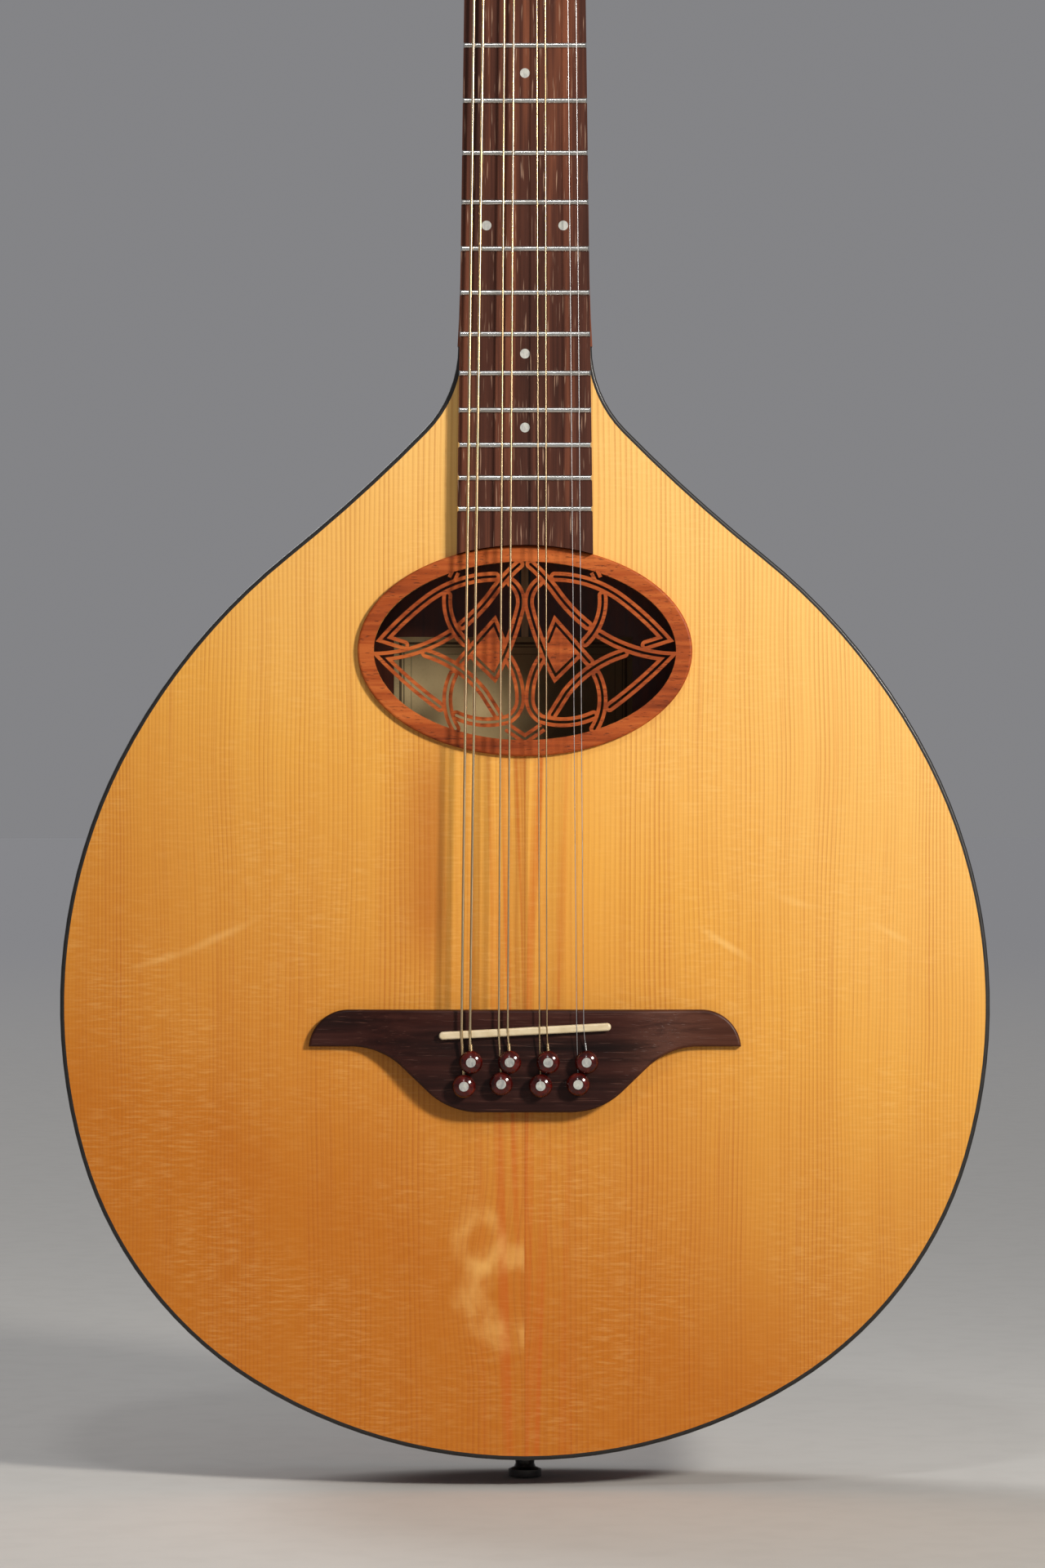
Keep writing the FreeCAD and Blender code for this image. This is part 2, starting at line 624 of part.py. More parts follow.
# ---------------------------------------------------------------- bridge pins
PIN_HEAD_STEPS = 9
PIN_DOT_DEPTH = 0.95
PIN_DOT_PROUD = 0.15
BALL_RADIUS = 1.9
BALL_HALF = 1.6
HEAD_MIDDLE = PIN_COLLAR + 1.5        # widest place of the pin's head, above the bridge
HEAD_SWELL = 2.7


def pin_blank(place):
    """One pin: a tapered shank, a short collar and a round head with a flat top."""
    tip = -BRIDGE_HEIGHT - PIN_REACH + 8.0
    profile = [(0, tip), (PIN_TIP_RADIUS, tip + 0.6), (PIN_RADIUS, 0.0), (PIN_RADIUS, PIN_COLLAR)]
    for step in range(PIN_HEAD_STEPS):
        angle = math.radians(-35 + step * 96 / (PIN_HEAD_STEPS - 1))
        radius = PIN_HEAD_RADIUS * math.cos(angle) ** 0.8
        profile.append((radius, HEAD_MIDDLE + HEAD_SWELL * math.sin(angle)))
    head_top = PIN_COLLAR + PIN_HEAD_HEIGHT + 0.05
    profile += [(PIN_DOT_RADIUS, head_top), (0, head_top)]
    return spun(profile, V(place.x, -BRIDGE_HEIGHT, place.z), V(0, -1, 0))


def pin_grooves(place, radius):
    """Room for the string along the pin's shank, and a flat for the ball at its tip."""
    half = radius + 0.12
    groove = box(place.x - half, place.x + half, -BRIDGE_HEIGHT - PIN_COLLAR + 0.2, 20,
                 place.z + PIN_RADIUS - 2 * radius - 0.3, place.z + 5)
    flat = box(place.x - 4, place.x + 4, under, 20, place.z - 0.2, place.z + 5)
    return [groove, flat]


pins = []
pearls = []
balls = []
for number in range(8):
    place = pin_place(number)
    string_radius = STRINGS[number][0]
    pearl_top = V(place.x, -BRIDGE_HEIGHT - PIN_COLLAR - PIN_HEAD_HEIGHT - PIN_DOT_PROUD, place.z)
    pearl_seat = pearl_top + V(0, PIN_DOT_DEPTH, 0)
    recess = rod(PIN_DOT_RADIUS, pearl_top - V(0, 1, 0), pearl_seat)
    pearls.append(rod(PIN_DOT_RADIUS, pearl_top, pearl_seat))
    pins.append(pin_blank(place).cut([recess] + pin_grooves(place, string_radius) + CLEAR_STRINGS))
    ball_middle = V(place.x, under + BALL_RADIUS + 0.05, place.z + PIN_RADIUS - string_radius - 0.15)
    ball = rod(BALL_RADIUS, ball_middle - V(BALL_HALF, 0, 0), ball_middle + V(BALL_HALF, 0, 0))
    balls.append(ball.cut(CLEAR_STRINGS[number]))
save("bridge_pins", *pins)
save("pin_inlays", *pearls)
save("ball_ends", *balls)

for name, first in COURSES:
    save(f"strings_{name}_course", string_solid(first), string_solid(first + 1))


# ---------------------------------------------------------------- fingerboard, frets, nut
def board_half(z):
    """Half width of the fingerboard at this height."""
    return NUT_WIDTH / 2 - z * BOARD_TAPER


def fret_z(number):
    """Height of a fret, from the equal-tempered rule."""
    return -SCALE_LENGTH * (1 - 2 ** (-number / 12))


TANG_WIDTH = 0.56
TANG_DEPTH = 2.0
TANG_INSET = 0.4
CROWN_WIDTH = 2.3
CROWN_HEIGHT = 1.05
CROWN_BEVEL = 0.7
DOT_RADIUS = 2.0
DOT_DEPTH = 1.5
DOT_FRETS = (3, 5, 7, 9, 12, 15, 17)
DOUBLE_DOT_FRET = 12
DOUBLE_DOT_X = 15.9


def fret_crown(number):
    """The round bead of one fret, with its ends filed to a slope."""
    z = fret_z(number)
    half = board_half(z)
    top = -BOARD_THICKNESS
    low = V(-half, top, z - CROWN_WIDTH / 2)
    high = V(-half, top, z + CROWN_WIDTH / 2)
    arc = Part.Arc(low, V(-half, top - CROWN_HEIGHT, z), high).toShape()
    crown = Part.Face(Part.Wire([arc, Part.makeLine(high, low)])).extrude(V(2 * half, 0, 0))
    peak = top - CROWN_HEIGHT - 0.15
    bevel = [V(-half, top + 1, 0), V(-half, top, 0), V(-half + CROWN_BEVEL, peak, 0),
             V(half - CROWN_BEVEL, peak, 0), V(half, top, 0), V(half, top + 1, 0)]
    trim = Part.Face(Part.makePolygon(bevel + bevel[:1])).extrude(V(0, 0, 10))
    trim.translate(V(0, 0, z - 5))
    return crown.common(trim)


def fret_tang(number):
    """The thin root of one fret, which fills its slot in the fingerboard."""
    z = fret_z(number)
    half = board_half(z) - TANG_INSET
    top = -BOARD_THICKNESS
    return box(-half, half, top, top + TANG_DEPTH, z - TANG_WIDTH / 2, z + TANG_WIDTH / 2)


BOARD_END = ROSETTE_Z         # the board is cut off by the rosette before it gets there
board = front_prism(((-board_half(0), 0), (board_half(0), 0), (board_half(BOARD_END), BOARD_END),
                     (-board_half(BOARD_END), BOARD_END)), -BOARD_THICKNESS, 0.0)
board = board.cut(ellipse_prism(ROSETTE_HALF_WIDTH + 0.05, ROSETTE_HALF_HEIGHT + 0.05, -20, 5))
board = max(board.Solids, key=lambda solid: solid.BoundBox.ZMax)
tangs = [fret_tang(number) for number in range(1, FRET_COUNT + 1)]
frets = [fret_crown(number).fuse(tang).removeSplitter() for number, tang in enumerate(tangs, 1)]
dots = []
for number in DOT_FRETS:
    z = (fret_z(number) + fret_z(number - 1)) / 2
    for x in ((-DOUBLE_DOT_X, DOUBLE_DOT_X) if number == DOUBLE_DOT_FRET else (0.0,)):
        dots.append(rod(DOT_RADIUS, V(x, -BOARD_THICKNESS, z), V(x, -BOARD_THICKNESS + DOT_DEPTH, z)))
save("position_dots", *dots)
save("fingerboard", board.cut(tangs + dots))
save("frets", *frets)

NUT_CREST = NUT_HEIGHT + 0.3
nut = box(-NUT_WIDTH / 2, NUT_WIDTH / 2, -NUT_CREST, 0, 0, NUT_LENGTH)
crest = [edge for edge in nut.Edges if all(abs(v.Y + NUT_CREST) < 0.01 for v in edge.Vertexes)
         and abs(edge.tangentAt(edge.FirstParameter).x) > 0.5]
save("nut", try_round(nut, crest, 1.2).cut(CLEAR_STRINGS))


# ---------------------------------------------------------------- neck
ROUND_POWER = 2.1             # a neck section is nearly half an ellipse
SQUARE_POWER = 14.0           # and nearly square where it meets the head
HEEL_POWER = 5.6
THROAT_STARTS = -46.0         # the section begins to square up here
HEEL_DEPTH = 98.0             # past the back, which then cuts it off
HEEL_STEPS = 6
THROAT_STEPS = 7


def neck_section(z, half, depth, power):
    """Cross section of the neck: flat in front and rounded behind, squarer as power rises."""
    points = []
    steps = 24
    for step in range(steps + 1):
        angle = math.pi * step / steps
        across = half * math.copysign(abs(math.cos(angle)) ** (2 / power), math.cos(angle))
        deep = depth * abs(math.sin(angle)) ** (2 / power)
        points.append(V(across if 0 < step < steps else math.copysign(half, across), deep, z))
    curve = Part.BSplineCurve()
    curve.interpolate(points)
    return Part.Wire([curve.toShape(), Part.makeLine(points[-1], points[0])])


def loft(sections):
    """Solid through cross sections."""
    return Part.makeLoft(sections, True, False)


def shaft_depth(z):
    """Thickness of the neck's wood behind the fingerboard."""
    return NECK_THICKNESS_NUT + (NECK_THICKNESS_BODY - NECK_THICKNESS_NUT) * (-z / -HEEL_START)


def throat():
    """The end below the head, which squares up to meet it."""
    sections = []
    for step in range(THROAT_STEPS + 1):
        share = step / THROAT_STEPS
        z = THROAT_STARTS + (NUT_LENGTH - THROAT_STARTS) * share
        power = ROUND_POWER + (SQUARE_POWER - ROUND_POWER) * share ** 2.6
        sections.append(neck_section(z, board_half(min(z, 0)), shaft_depth(z), power))
    return loft(sections)


def heel_shape():
    """The deep end at the body, swept back in a long curve."""
    sections = []
    for step in range(HEEL_STEPS + 1):
        share = step / HEEL_STEPS
        z = HEEL_START + (END_Z - HEEL_START) * share
        depth = shaft_depth(HEEL_START) + (HEEL_DEPTH - shaft_depth(HEEL_START)) * share ** 2.8
        power = ROUND_POWER + (HEEL_POWER - ROUND_POWER) * share ** 2
        sections.append(neck_section(z, board_half(z) + 0.9 * share ** 4, depth, power))
    return loft(sections)


# ---------------------------------------------------------------- head
HEAD_FOOT = 4.0               # the sides stand straight this far before the flare
HEAD_LOW_HALF = 35.5
HEAD_LOW = 36.0
HEAD_HIGH_HALF = 28.5
HEAD_HIGH = 150.0
BUSHING_BORE = 4.6
SCREW_AHEAD = 10.5            # a machine's screw, from its post along the head
TUNER_SCREW_RADIUS = 1.0
TUNER_SCREW_LENGTH = 7.0
COVER_SCREW_RADIUS = 0.8
COVER_SCREW_LENGTH = 4.0
SMALL_FIT = 0.02
COVER_SCREWS = ((-7.6, 5.0), (7.6, 5.0), (0.0, 37.0))
TRUSS_START = -356.0
TRUSS_HALF = 3.0
TRUSS_DEPTH = 8.5
TRUSS_Y = 5.5
TRUSS_FIT = 0.05


def head_outline(y):
    """The head's outline, before it is tilted: a flare above the nut, straight sides and a crest."""
    edges = []
    for side in (-1, 1):
        foot = V(side * NUT_WIDTH / 2, y, 0)
        flare = V(side * NUT_WIDTH / 2, y, HEAD_FOOT)
        low = V(side * HEAD_LOW_HALF, y, HEAD_LOW)
        high = V(side * HEAD_HIGH_HALF, y, HEAD_HIGH)
        edges.append(Part.makeLine(V(0, y, 0), foot))
        edges.append(Part.makeLine(foot, flare))
        edges.append(Part.Arc(flare, V(side * 31.0, y, 20), low).toShape())
        edges.append(Part.makeLine(low, high))
        edges.append(Part.Arc(high, V(side * 17.0, y, 163), V(0, y, HEAD_LENGTH)).toShape())
    return Part.Wire(Part.__sortEdges__(edges))


def head_slab(front, back, rounded, radius):
    """The head between two depths, with the rim at one of them rounded, all but its foot."""
    slab = Part.Face(head_outline(front)).extrude(V(0, back - front, 0))
    rim = [edge for edge in slab.Edges if all(abs(v.Y - rounded) < 0.01 for v in edge.Vertexes)
           and max(v.Z for v in edge.Vertexes) > 1]
    return on_head(try_round(slab, rim, radius))


def post_bores():
    """Holes for the bushings, through the head and its plate."""
    bores = []
    for side, along, post_x in TUNER_PLACES:
        bores.append(on_head(rod(BUSHING_BORE, V(side * post_x, -6, along), V(side * post_x, 30, along))))
    return bores


def pilot_holes():
    """Holes for the screws of the tuning machines and of the truss rod's cover."""
    holes = []
    for side, along, post_x in TUNER_PLACES:
        start = V(side * post_x, HEAD_THICKNESS - TUNER_SCREW_LENGTH - 0.1, along + SCREW_AHEAD)
        holes.append(on_head(rod(TUNER_SCREW_RADIUS + SMALL_FIT, start, start + V(0, 8, 0))))
    for x, along in COVER_SCREWS:
        end = V(x, COVER_SCREW_LENGTH + 0.1, along)
        holes.append(on_head(rod(COVER_SCREW_RADIUS + SMALL_FIT, V(x, -6, along), end)))
    return holes


def shaft():
    """The long even part between the throat and the heel."""
    ends = (THROAT_STARTS, HEEL_START)
    return loft([neck_section(z, board_half(z), shaft_depth(z), ROUND_POWER) for z in ends])


heel = heel_shape()
behind_heel = on_back(box(-60, 60, -BACK_THICKNESS, 60, -60, 600))
below_nut = box(-60, 60, -60, 60, NUT_LENGTH - 60, NUT_LENGTH)
head = head_slab(0.0, HEAD_THICKNESS, HEAD_THICKNESS, 1.5).cut(below_nut)
rod_pocket = box(-6, 6, -4, 9.2, NUT_LENGTH, 34.0)
channel_half = TRUSS_HALF + TRUSS_FIT
rod_channel = box(-channel_half, channel_half, -1, TRUSS_DEPTH + TRUSS_FIT,
                  TRUSS_START - 0.5, NUT_LENGTH + 1)
neck = throat().fuse([shaft(), heel]).cut(behind_heel).fuse(head)
save("neck", neck.cut([rod_pocket, rod_channel] + bolt_holes + post_bores() + pilot_holes()))
save("heel_cap", heel.common(back_slab(0.0, BACK_THICKNESS)))

headplate = head_slab(-HEADPLATE_THICKNESS, 0.0, -HEADPLATE_THICKNESS, 0.5)
nut_room = box(-30, 30, -40, 0.02, -20, NUT_LENGTH + 0.02)
save("headplate", headplate.cut([rod_pocket, nut_room] + post_bores() + pilot_holes()))

# ---------------------------------------------------------------- truss rod and its cover
STUD_RADIUS = 2.0
SOCKET_NUT_RADIUS = 3.3
KEY_RADIUS = 2.3
COVER_HALF = 10.0
COVER_TOP = 42.0
COVER_PLATE = 1.5


def hexagon_prism(radius, x, y, z, length):
    """Six-sided bar along Z."""
    corners = []
    for step in range(6):
        angle = math.radians(60 * step)
        corners.append(V(x + radius * math.cos(angle), y + radius * math.sin(angle), z))
    return Part.Face(Part.makePolygon(corners + corners[:1])).extrude(V(0, 0, length))


bar = box(-TRUSS_HALF, TRUSS_HALF, 0.02, TRUSS_DEPTH, TRUSS_START, NUT_LENGTH)
stud = rod(STUD_RADIUS, V(0, TRUSS_Y, NUT_LENGTH), V(0, TRUSS_Y, NUT_LENGTH + 8))
save("truss_rod", bar.fuse(stud))
socket_nut = rod(SOCKET_NUT_RADIUS, V(0, TRUSS_Y, NUT_LENGTH + 1), V(0, TRUSS_Y, NUT_LENGTH + 14))
stud_bore = rod(STUD_RADIUS + TRUSS_FIT, V(0, TRUSS_Y, NUT_LENGTH), V(0, TRUSS_Y, NUT_LENGTH + 8.5))
key_socket = hexagon_prism(KEY_RADIUS, 0, TRUSS_Y, NUT_LENGTH + 9.0, 10)
save("truss_rod_nut", socket_nut.cut([stud_bore, key_socket]))

cover_front = -HEADPLATE_THICKNESS - COVER_PLATE
edges = []
for side in (-1, 1):
    corner = V(side * COVER_HALF, cover_front, 2.0)
    edges.append(Part.makeLine(V(0, cover_front, 2.0), corner))
    edges.append(Part.Arc(corner, V(side * 9.0, cover_front, 22.0), V(0, cover_front, COVER_TOP)).toShape())
cover = Part.Face(Part.Wire(Part.__sortEdges__(edges))).extrude(V(0, COVER_PLATE, 0))
cover_screws = []
cover_holes = []
for x, along in COVER_SCREWS:
    shank = rod(COVER_SCREW_RADIUS, V(x, cover_front - 0.3, along), V(x, COVER_SCREW_LENGTH, along))
    screw_head = rod(2 * COVER_SCREW_RADIUS, V(x, cover_front - 0.6, along), V(x, cover_front, along))
    cover_screws.append(on_head(shank.fuse(screw_head)))
    cover_holes.append(rod(COVER_SCREW_RADIUS + SMALL_FIT, V(x, cover_front - 1, along), V(x, 4, along)))
save("truss_rod_cover", on_head(cover.cut(cover_holes)))
save("truss_cover_screws", *cover_screws)

# ---------------------------------------------------------------- neck bolts and strap button
bolts = []
for y in BOLT_DEPTHS:
    shank = rod(BOLT_RADIUS, V(0, y, bolt_bottom), V(0, y, END_Z + BOLT_REACH))
    bolt_head = rod(5.0, V(0, y, bolt_bottom - 5), V(0, y, bolt_bottom))
    bolts.append(shank.fuse(bolt_head).cut(hexagon_prism(2.5, 0, y, bolt_bottom - 6, 4)))
save("neck_bolts", *bolts)

BUTTON_LENGTH = 11.0
FLANGE_RADIUS = 7.0
button_profile = ((0, -18), (SCREW_RADIUS, -16), (SCREW_RADIUS, -0.2), (6.0, -0.2), (6.0, 1.2),
                  (4.2, 3.5), (4.0, 5.5), (4.6, 7.0), (FLANGE_RADIUS, 8.0),
                  (FLANGE_RADIUS, BUTTON_LENGTH), (0, BUTTON_LENGTH))
save("strap_button", spun(button_profile, V(0, button_y, TAIL_Z - 0.3), V(0, 0, -1)))

# ---------------------------------------------------------------- tuning machines
HOUSING_HALF = 8.0
HOUSING_BELOW = 10.5
HOUSING_ABOVE = 8.0
KNOB_LENGTH = 13.0
KNOB_HALF_WIDTH = 8.0
KNOB_HALF_DEPTH = 3.6
KNOB_GAP = 5.0
KNOB_ROUND = 3.2
GEAR_RADIUS = 4.4
GEAR_THICKNESS = 3.0
TOOTH_HEIGHT = 0.7
WORM_RADIUS = 1.7
WORM_HALF = 5.5
SHAFT_RADIUS = 1.6
BUSHING_HEIGHT = 2.6
HEX_RADIUS = 5.8
WASHER_RADIUS = 6.4
WASHER_THICKNESS = 0.6
SLEEVE_END = 7.0              # a bushing's sleeve, behind the front of the head's wood
SPOUT_RADIUS = 3.2
EAR_RADIUS = 3.0
EAR_THICKNESS = 2.0
LID_RADIUS = 5.25
LID_DEPTH = 1.2
LID_FLANGE_RADIUS = 6.6
POST_TIP = -HEADPLATE_THICKNESS - 17.0
POST_EYE = 6.0                # below the tip
EYE_RADIUS = 0.9
BACK = HEAD_THICKNESS
WORM_Y = BACK + TUNER_DEPTH
GEAR_ROOM = GEAR_RADIUS + 0.9


def tuner_housing(x, side, along):
    """Cast box on the back of the head, with rooms for the gear and the worm and an ear for its screw."""
    worm_z = along - WORM_OFFSET
    shell = box(x - HOUSING_HALF, x + HOUSING_HALF, BACK, BACK + HOUSING_DEPTH,
                along - HOUSING_BELOW, along + HOUSING_ABOVE)
    upright = [edge for edge in shell.Edges if abs(edge.tangentAt(edge.FirstParameter).y) > 0.9]
    shell = shell.makeFillet(3.0, upright)
    worm_middle = V(x, WORM_Y, worm_z)
    outward = V(side, 0, 0)
    spout = rod(SPOUT_RADIUS, worm_middle + outward * (HOUSING_HALF - 0.5),
                worm_middle + outward * (HOUSING_HALF + 4.0))
    screw_z = along + SCREW_AHEAD
    ear = rod(EAR_RADIUS, V(x, BACK, screw_z - 0.5), V(x, BACK + EAR_THICKNESS, screw_z - 0.5))
    rooms = [
        rod(GEAR_ROOM, V(x, BACK + 2.5, along), V(x, BACK + HOUSING_DEPTH + 1, along)),
        rod(WORM_RADIUS + 0.5, worm_middle - outward * 6, worm_middle + outward * 6),
        rod(POST_RADIUS + POST_FIT, V(x, BACK - 1, along), V(x, BACK + 3, along)),
        rod(SHAFT_RADIUS + POST_FIT, worm_middle, worm_middle + outward * (HOUSING_HALF + 6)),
        rod(TUNER_SCREW_RADIUS + 0.05, V(x, BACK - 1, screw_z), V(x, BACK + 3, screw_z)),
    ]
    return on_head(shell.fuse([spout, ear]).cut(rooms))


def tuner_cover(x, along):
    """Round lid that closes the gear's room."""
    mouth = BACK + HOUSING_DEPTH
    lid = rod(LID_RADIUS, V(x, mouth - LID_DEPTH, along), V(x, mouth, along))
    flange = rod(LID_FLANGE_RADIUS, V(x, mouth, along), V(x, mouth + COVER_THICKNESS, along))
    return on_head(lid.fuse(flange))


def tuner_bushing(x, along):
    """Hexagon collar with a washer on the front of the head, and its sleeve in the wood."""
    washer_front = -HEADPLATE_THICKNESS - WASHER_THICKNESS
    hexagon = []
    for step in range(6):
        angle = math.radians(60 * step)
        hexagon.append((x + HEX_RADIUS * math.cos(angle), along + HEX_RADIUS * math.sin(angle)))
    collar = front_prism(hexagon, washer_front - BUSHING_HEIGHT, washer_front)
    washer = rod(WASHER_RADIUS, V(x, washer_front, along), V(x, -HEADPLATE_THICKNESS, along))
    sleeve = rod(BUSHING_BORE - SMALL_FIT, V(x, -HEADPLATE_THICKNESS, along), V(x, SLEEVE_END, along))
    bore = rod(POST_RADIUS + POST_FIT, V(x, -20, along), V(x, 20, along))
    return on_head(collar.fuse([washer, sleeve]).cut(bore))


def tuner_screw(x, along):
    """The small screw that holds a housing to the head."""
    middle = along + SCREW_AHEAD
    seat = BACK + EAR_THICKNESS
    shank = rod(TUNER_SCREW_RADIUS, V(x, BACK - TUNER_SCREW_LENGTH, middle), V(x, seat, middle))
    cap = rod(1.9 * TUNER_SCREW_RADIUS, V(x, seat, middle), V(x, seat + 1.2, middle))
    return on_head(shank.fuse(cap))


def tuner_post(x, along):
    """The string post, with a waist for the windings, an eye for the string and its gear."""
    end = BACK + HOUSING_DEPTH - 3.0
    profile = ((0, POST_TIP), (2.6, POST_TIP), (POST_RADIUS, POST_TIP + 0.5), (POST_RADIUS, POST_TIP + 3.5),
               (POST_WAIST, POST_TIP + 4.5), (POST_WAIST, POST_TIP + 12.0), (POST_RADIUS, POST_TIP + 13.0),
               (POST_RADIUS, end), (0, end))
    post = spun(profile, V(x, 0, along), V(0, 1, 0))
    eye_y = POST_TIP + POST_EYE
    post = post.cut(rod(EYE_RADIUS, V(x - 5, eye_y, along), V(x + 5, eye_y, along)))
    teeth = []
    steps = TURN_TEETH * 4
    for step in range(steps):
        reach = GEAR_RADIUS if step % 4 < 2 else GEAR_RADIUS - TOOTH_HEIGHT
        angle = 2 * math.pi * step / steps
        teeth.append((x + reach * math.cos(angle), along + reach * math.sin(angle)))
    gear = front_prism(teeth, WORM_Y - GEAR_THICKNESS / 2, WORM_Y + GEAR_THICKNESS / 2)
    return on_head(post.fuse(gear))


def tuner_button(x, side, along):
    """Worm, shaft and knob, in one piece."""
    worm_middle = V(x, WORM_Y, along - WORM_OFFSET)
    outward = V(side, 0, 0)
    worm = rod(WORM_RADIUS, worm_middle - outward * WORM_HALF, worm_middle + outward * WORM_HALF)
    near = x + side * (HOUSING_HALF + KNOB_GAP)
    far = near + side * KNOB_LENGTH
    shaft = rod(SHAFT_RADIUS, worm_middle, V(near + side * 2, worm_middle.y, worm_middle.z))
    knob = box(min(near, far), max(near, far), WORM_Y - KNOB_HALF_DEPTH, WORM_Y + KNOB_HALF_DEPTH,
               worm_middle.z - KNOB_HALF_WIDTH, worm_middle.z + KNOB_HALF_WIDTH)
    knob = knob.makeFillet(KNOB_ROUND, knob.Edges)
    return on_head(worm.fuse([shaft, knob]))


housings = []
covers = []
bushings = []
screws = []
for number, (side, along, post_x) in enumerate(TUNER_PLACES, 1):
    x = side * post_x
    housings.append(tuner_housing(x, side, along))
    covers.append(tuner_cover(x, along))
    bushings.append(tuner_bushing(x, along))
    screws.append(tuner_screw(x, along))
    save(f"tuner_post_{number}", tuner_post(x, along))
    save(f"tuner_button_{number}", tuner_button(x, side, along))
save("tuner_housings", *housings)
save("tuner_covers", *covers)
save("tuner_bushings", *bushings)
save("tuner_screws", *screws)
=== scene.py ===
import math

import bpy
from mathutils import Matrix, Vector


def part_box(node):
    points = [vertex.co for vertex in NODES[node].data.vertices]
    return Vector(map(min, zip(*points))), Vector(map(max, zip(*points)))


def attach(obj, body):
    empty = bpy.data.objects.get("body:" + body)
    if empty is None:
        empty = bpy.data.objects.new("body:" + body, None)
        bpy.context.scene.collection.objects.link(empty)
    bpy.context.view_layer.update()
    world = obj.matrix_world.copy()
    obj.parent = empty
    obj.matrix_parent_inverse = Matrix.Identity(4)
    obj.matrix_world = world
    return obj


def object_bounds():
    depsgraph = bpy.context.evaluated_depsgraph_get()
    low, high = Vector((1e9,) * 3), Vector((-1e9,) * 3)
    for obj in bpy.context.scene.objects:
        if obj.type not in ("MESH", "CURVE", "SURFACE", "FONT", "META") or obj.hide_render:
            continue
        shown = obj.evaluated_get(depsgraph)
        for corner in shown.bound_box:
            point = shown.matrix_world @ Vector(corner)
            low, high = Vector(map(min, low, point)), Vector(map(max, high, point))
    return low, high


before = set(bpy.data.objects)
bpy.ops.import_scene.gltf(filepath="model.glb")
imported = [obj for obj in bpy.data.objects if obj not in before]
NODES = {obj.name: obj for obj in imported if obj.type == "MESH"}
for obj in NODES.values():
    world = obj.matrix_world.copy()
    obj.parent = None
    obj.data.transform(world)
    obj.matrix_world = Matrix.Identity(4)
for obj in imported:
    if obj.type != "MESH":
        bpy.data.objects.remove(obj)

CAD_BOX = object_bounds()
STRING_NUMBERS = range(1, 9)   # each string has the tuning machine of its own number
LAST_BRONZE = 6

# ---------------------------------------------------------------- places taken from the frame
BODY_LOW, BODY_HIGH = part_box("top_binding")
HOLE_LOW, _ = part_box("soundhole_rosette")
LABEL_LOW, LABEL_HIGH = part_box("paper_label")
_, BRIDGE_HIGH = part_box("bridge")

# ---------------------------------------------------------------- colours, as seen on a screen
SPRUCE_PALE = (241, 190, 108)
SPRUCE_AMBER = (222, 160, 66)
SPRUCE_DEEP = (187, 109, 22)
SPRUCE_LATE = (164, 82, 14)
SPRUCE_FLAME = (190, 92, 18)
SPRUCE_SILK = (250, 208, 134)
# For each wood: from its darkest streak to its lightest, then its pores.
BOARD_WOOD = ((32, 16, 12), (74, 38, 26), (132, 74, 48))
BOARD_PORE = (172, 136, 112)
BRIDGE_WOOD = ((20, 7, 5), (42, 16, 11), (60, 27, 20))
BRIDGE_PORE = (92, 56, 44)
# painted light on the bridge's treble wing, where the lamp catches it
BRIDGE_PAINTED_LIGHT = (84, 46, 31)
HEAD_WOOD = ((32, 16, 12), (72, 38, 27), (98, 56, 38))
HEAD_PORE = (40, 18, 12)
ROSETTE_WOOD = ((104, 40, 12), (156, 70, 24), (190, 100, 42))
ROSETTE_PORE = (54, 20, 8)
NECK_WOOD = ((84, 38, 20), (124, 62, 32), (146, 80, 44))
NECK_PORE = (62, 28, 16)
BACK_WOOD = ((78, 32, 16), (116, 52, 26), (150, 76, 38))
BACK_FLAME = (172, 96, 52)
SIDE_WOOD = ((74, 30, 16), (112, 50, 26), (142, 72, 38))
BODY_PORE = (48, 20, 10)
INNER_WOOD = ((128, 74, 44), (164, 104, 66), (186, 128, 86))
INNER_PORE = (88, 50, 30)
BRACE_EARLY = (226, 190, 136)
BRACE_MID = (214, 172, 112)
BRACE_LATE = (178, 130, 76)
BRACE_FIBRE = (240, 212, 164)
MAPLE_DARK = (196, 150, 94)
MAPLE_LIGHT = (222, 182, 126)
MAPLE_EDGE = (30, 20, 16)
DUST = (92, 88, 84)
BONE_DARK = (198, 180, 144)
BONE_LIGHT = (218, 202, 170)
BONE_FIBRE = (186, 162, 118)
PEARL_TINT = (206, 214, 200)
RESIN_DEEP = (36, 5, 3)
RESIN_RED = (66, 10, 6)
RESIN_LIGHT = (100, 20, 10)
BRONZE_BRIGHT = (236, 212, 168)
BRONZE_DULL = (184, 150, 106)
# painted shade in the grooves of the wound strings
BRONZE_GROOVE_SHADE = (110, 78, 46)
NICKEL_BRIGHT = (222, 220, 214)
PAPER_LIGHT = (222, 198, 148)
PAPER_AGED = (196, 164, 110)
PAPER_FIBRE = (172, 140, 92)
# painted shade on the label's treble side
PAPER_PAINTED_SHADE = (74, 54, 36)
INK = (62, 40, 24)
KNOB_BLACK = (22, 19, 18)
KNOB_SCRATCH = (52, 48, 46)
SHAFT_DULL = (176, 172, 162)
FLOOR_PAINT = (196, 194, 190)
FLOOR_SPECKLE = (189, 187, 183)
FLOOR_FAR = (178, 178, 181)


def screen(colour):
    """A colour given as 0 to 255 on a screen, as the linear values that Blender mixes."""
    linear = []
    for value in colour:
        share = value / 255
        linear.append(share / 12.92 if share <= 0.04045 else ((share + 0.055) / 1.055) ** 2.4)
    return (*linear, 1.0)


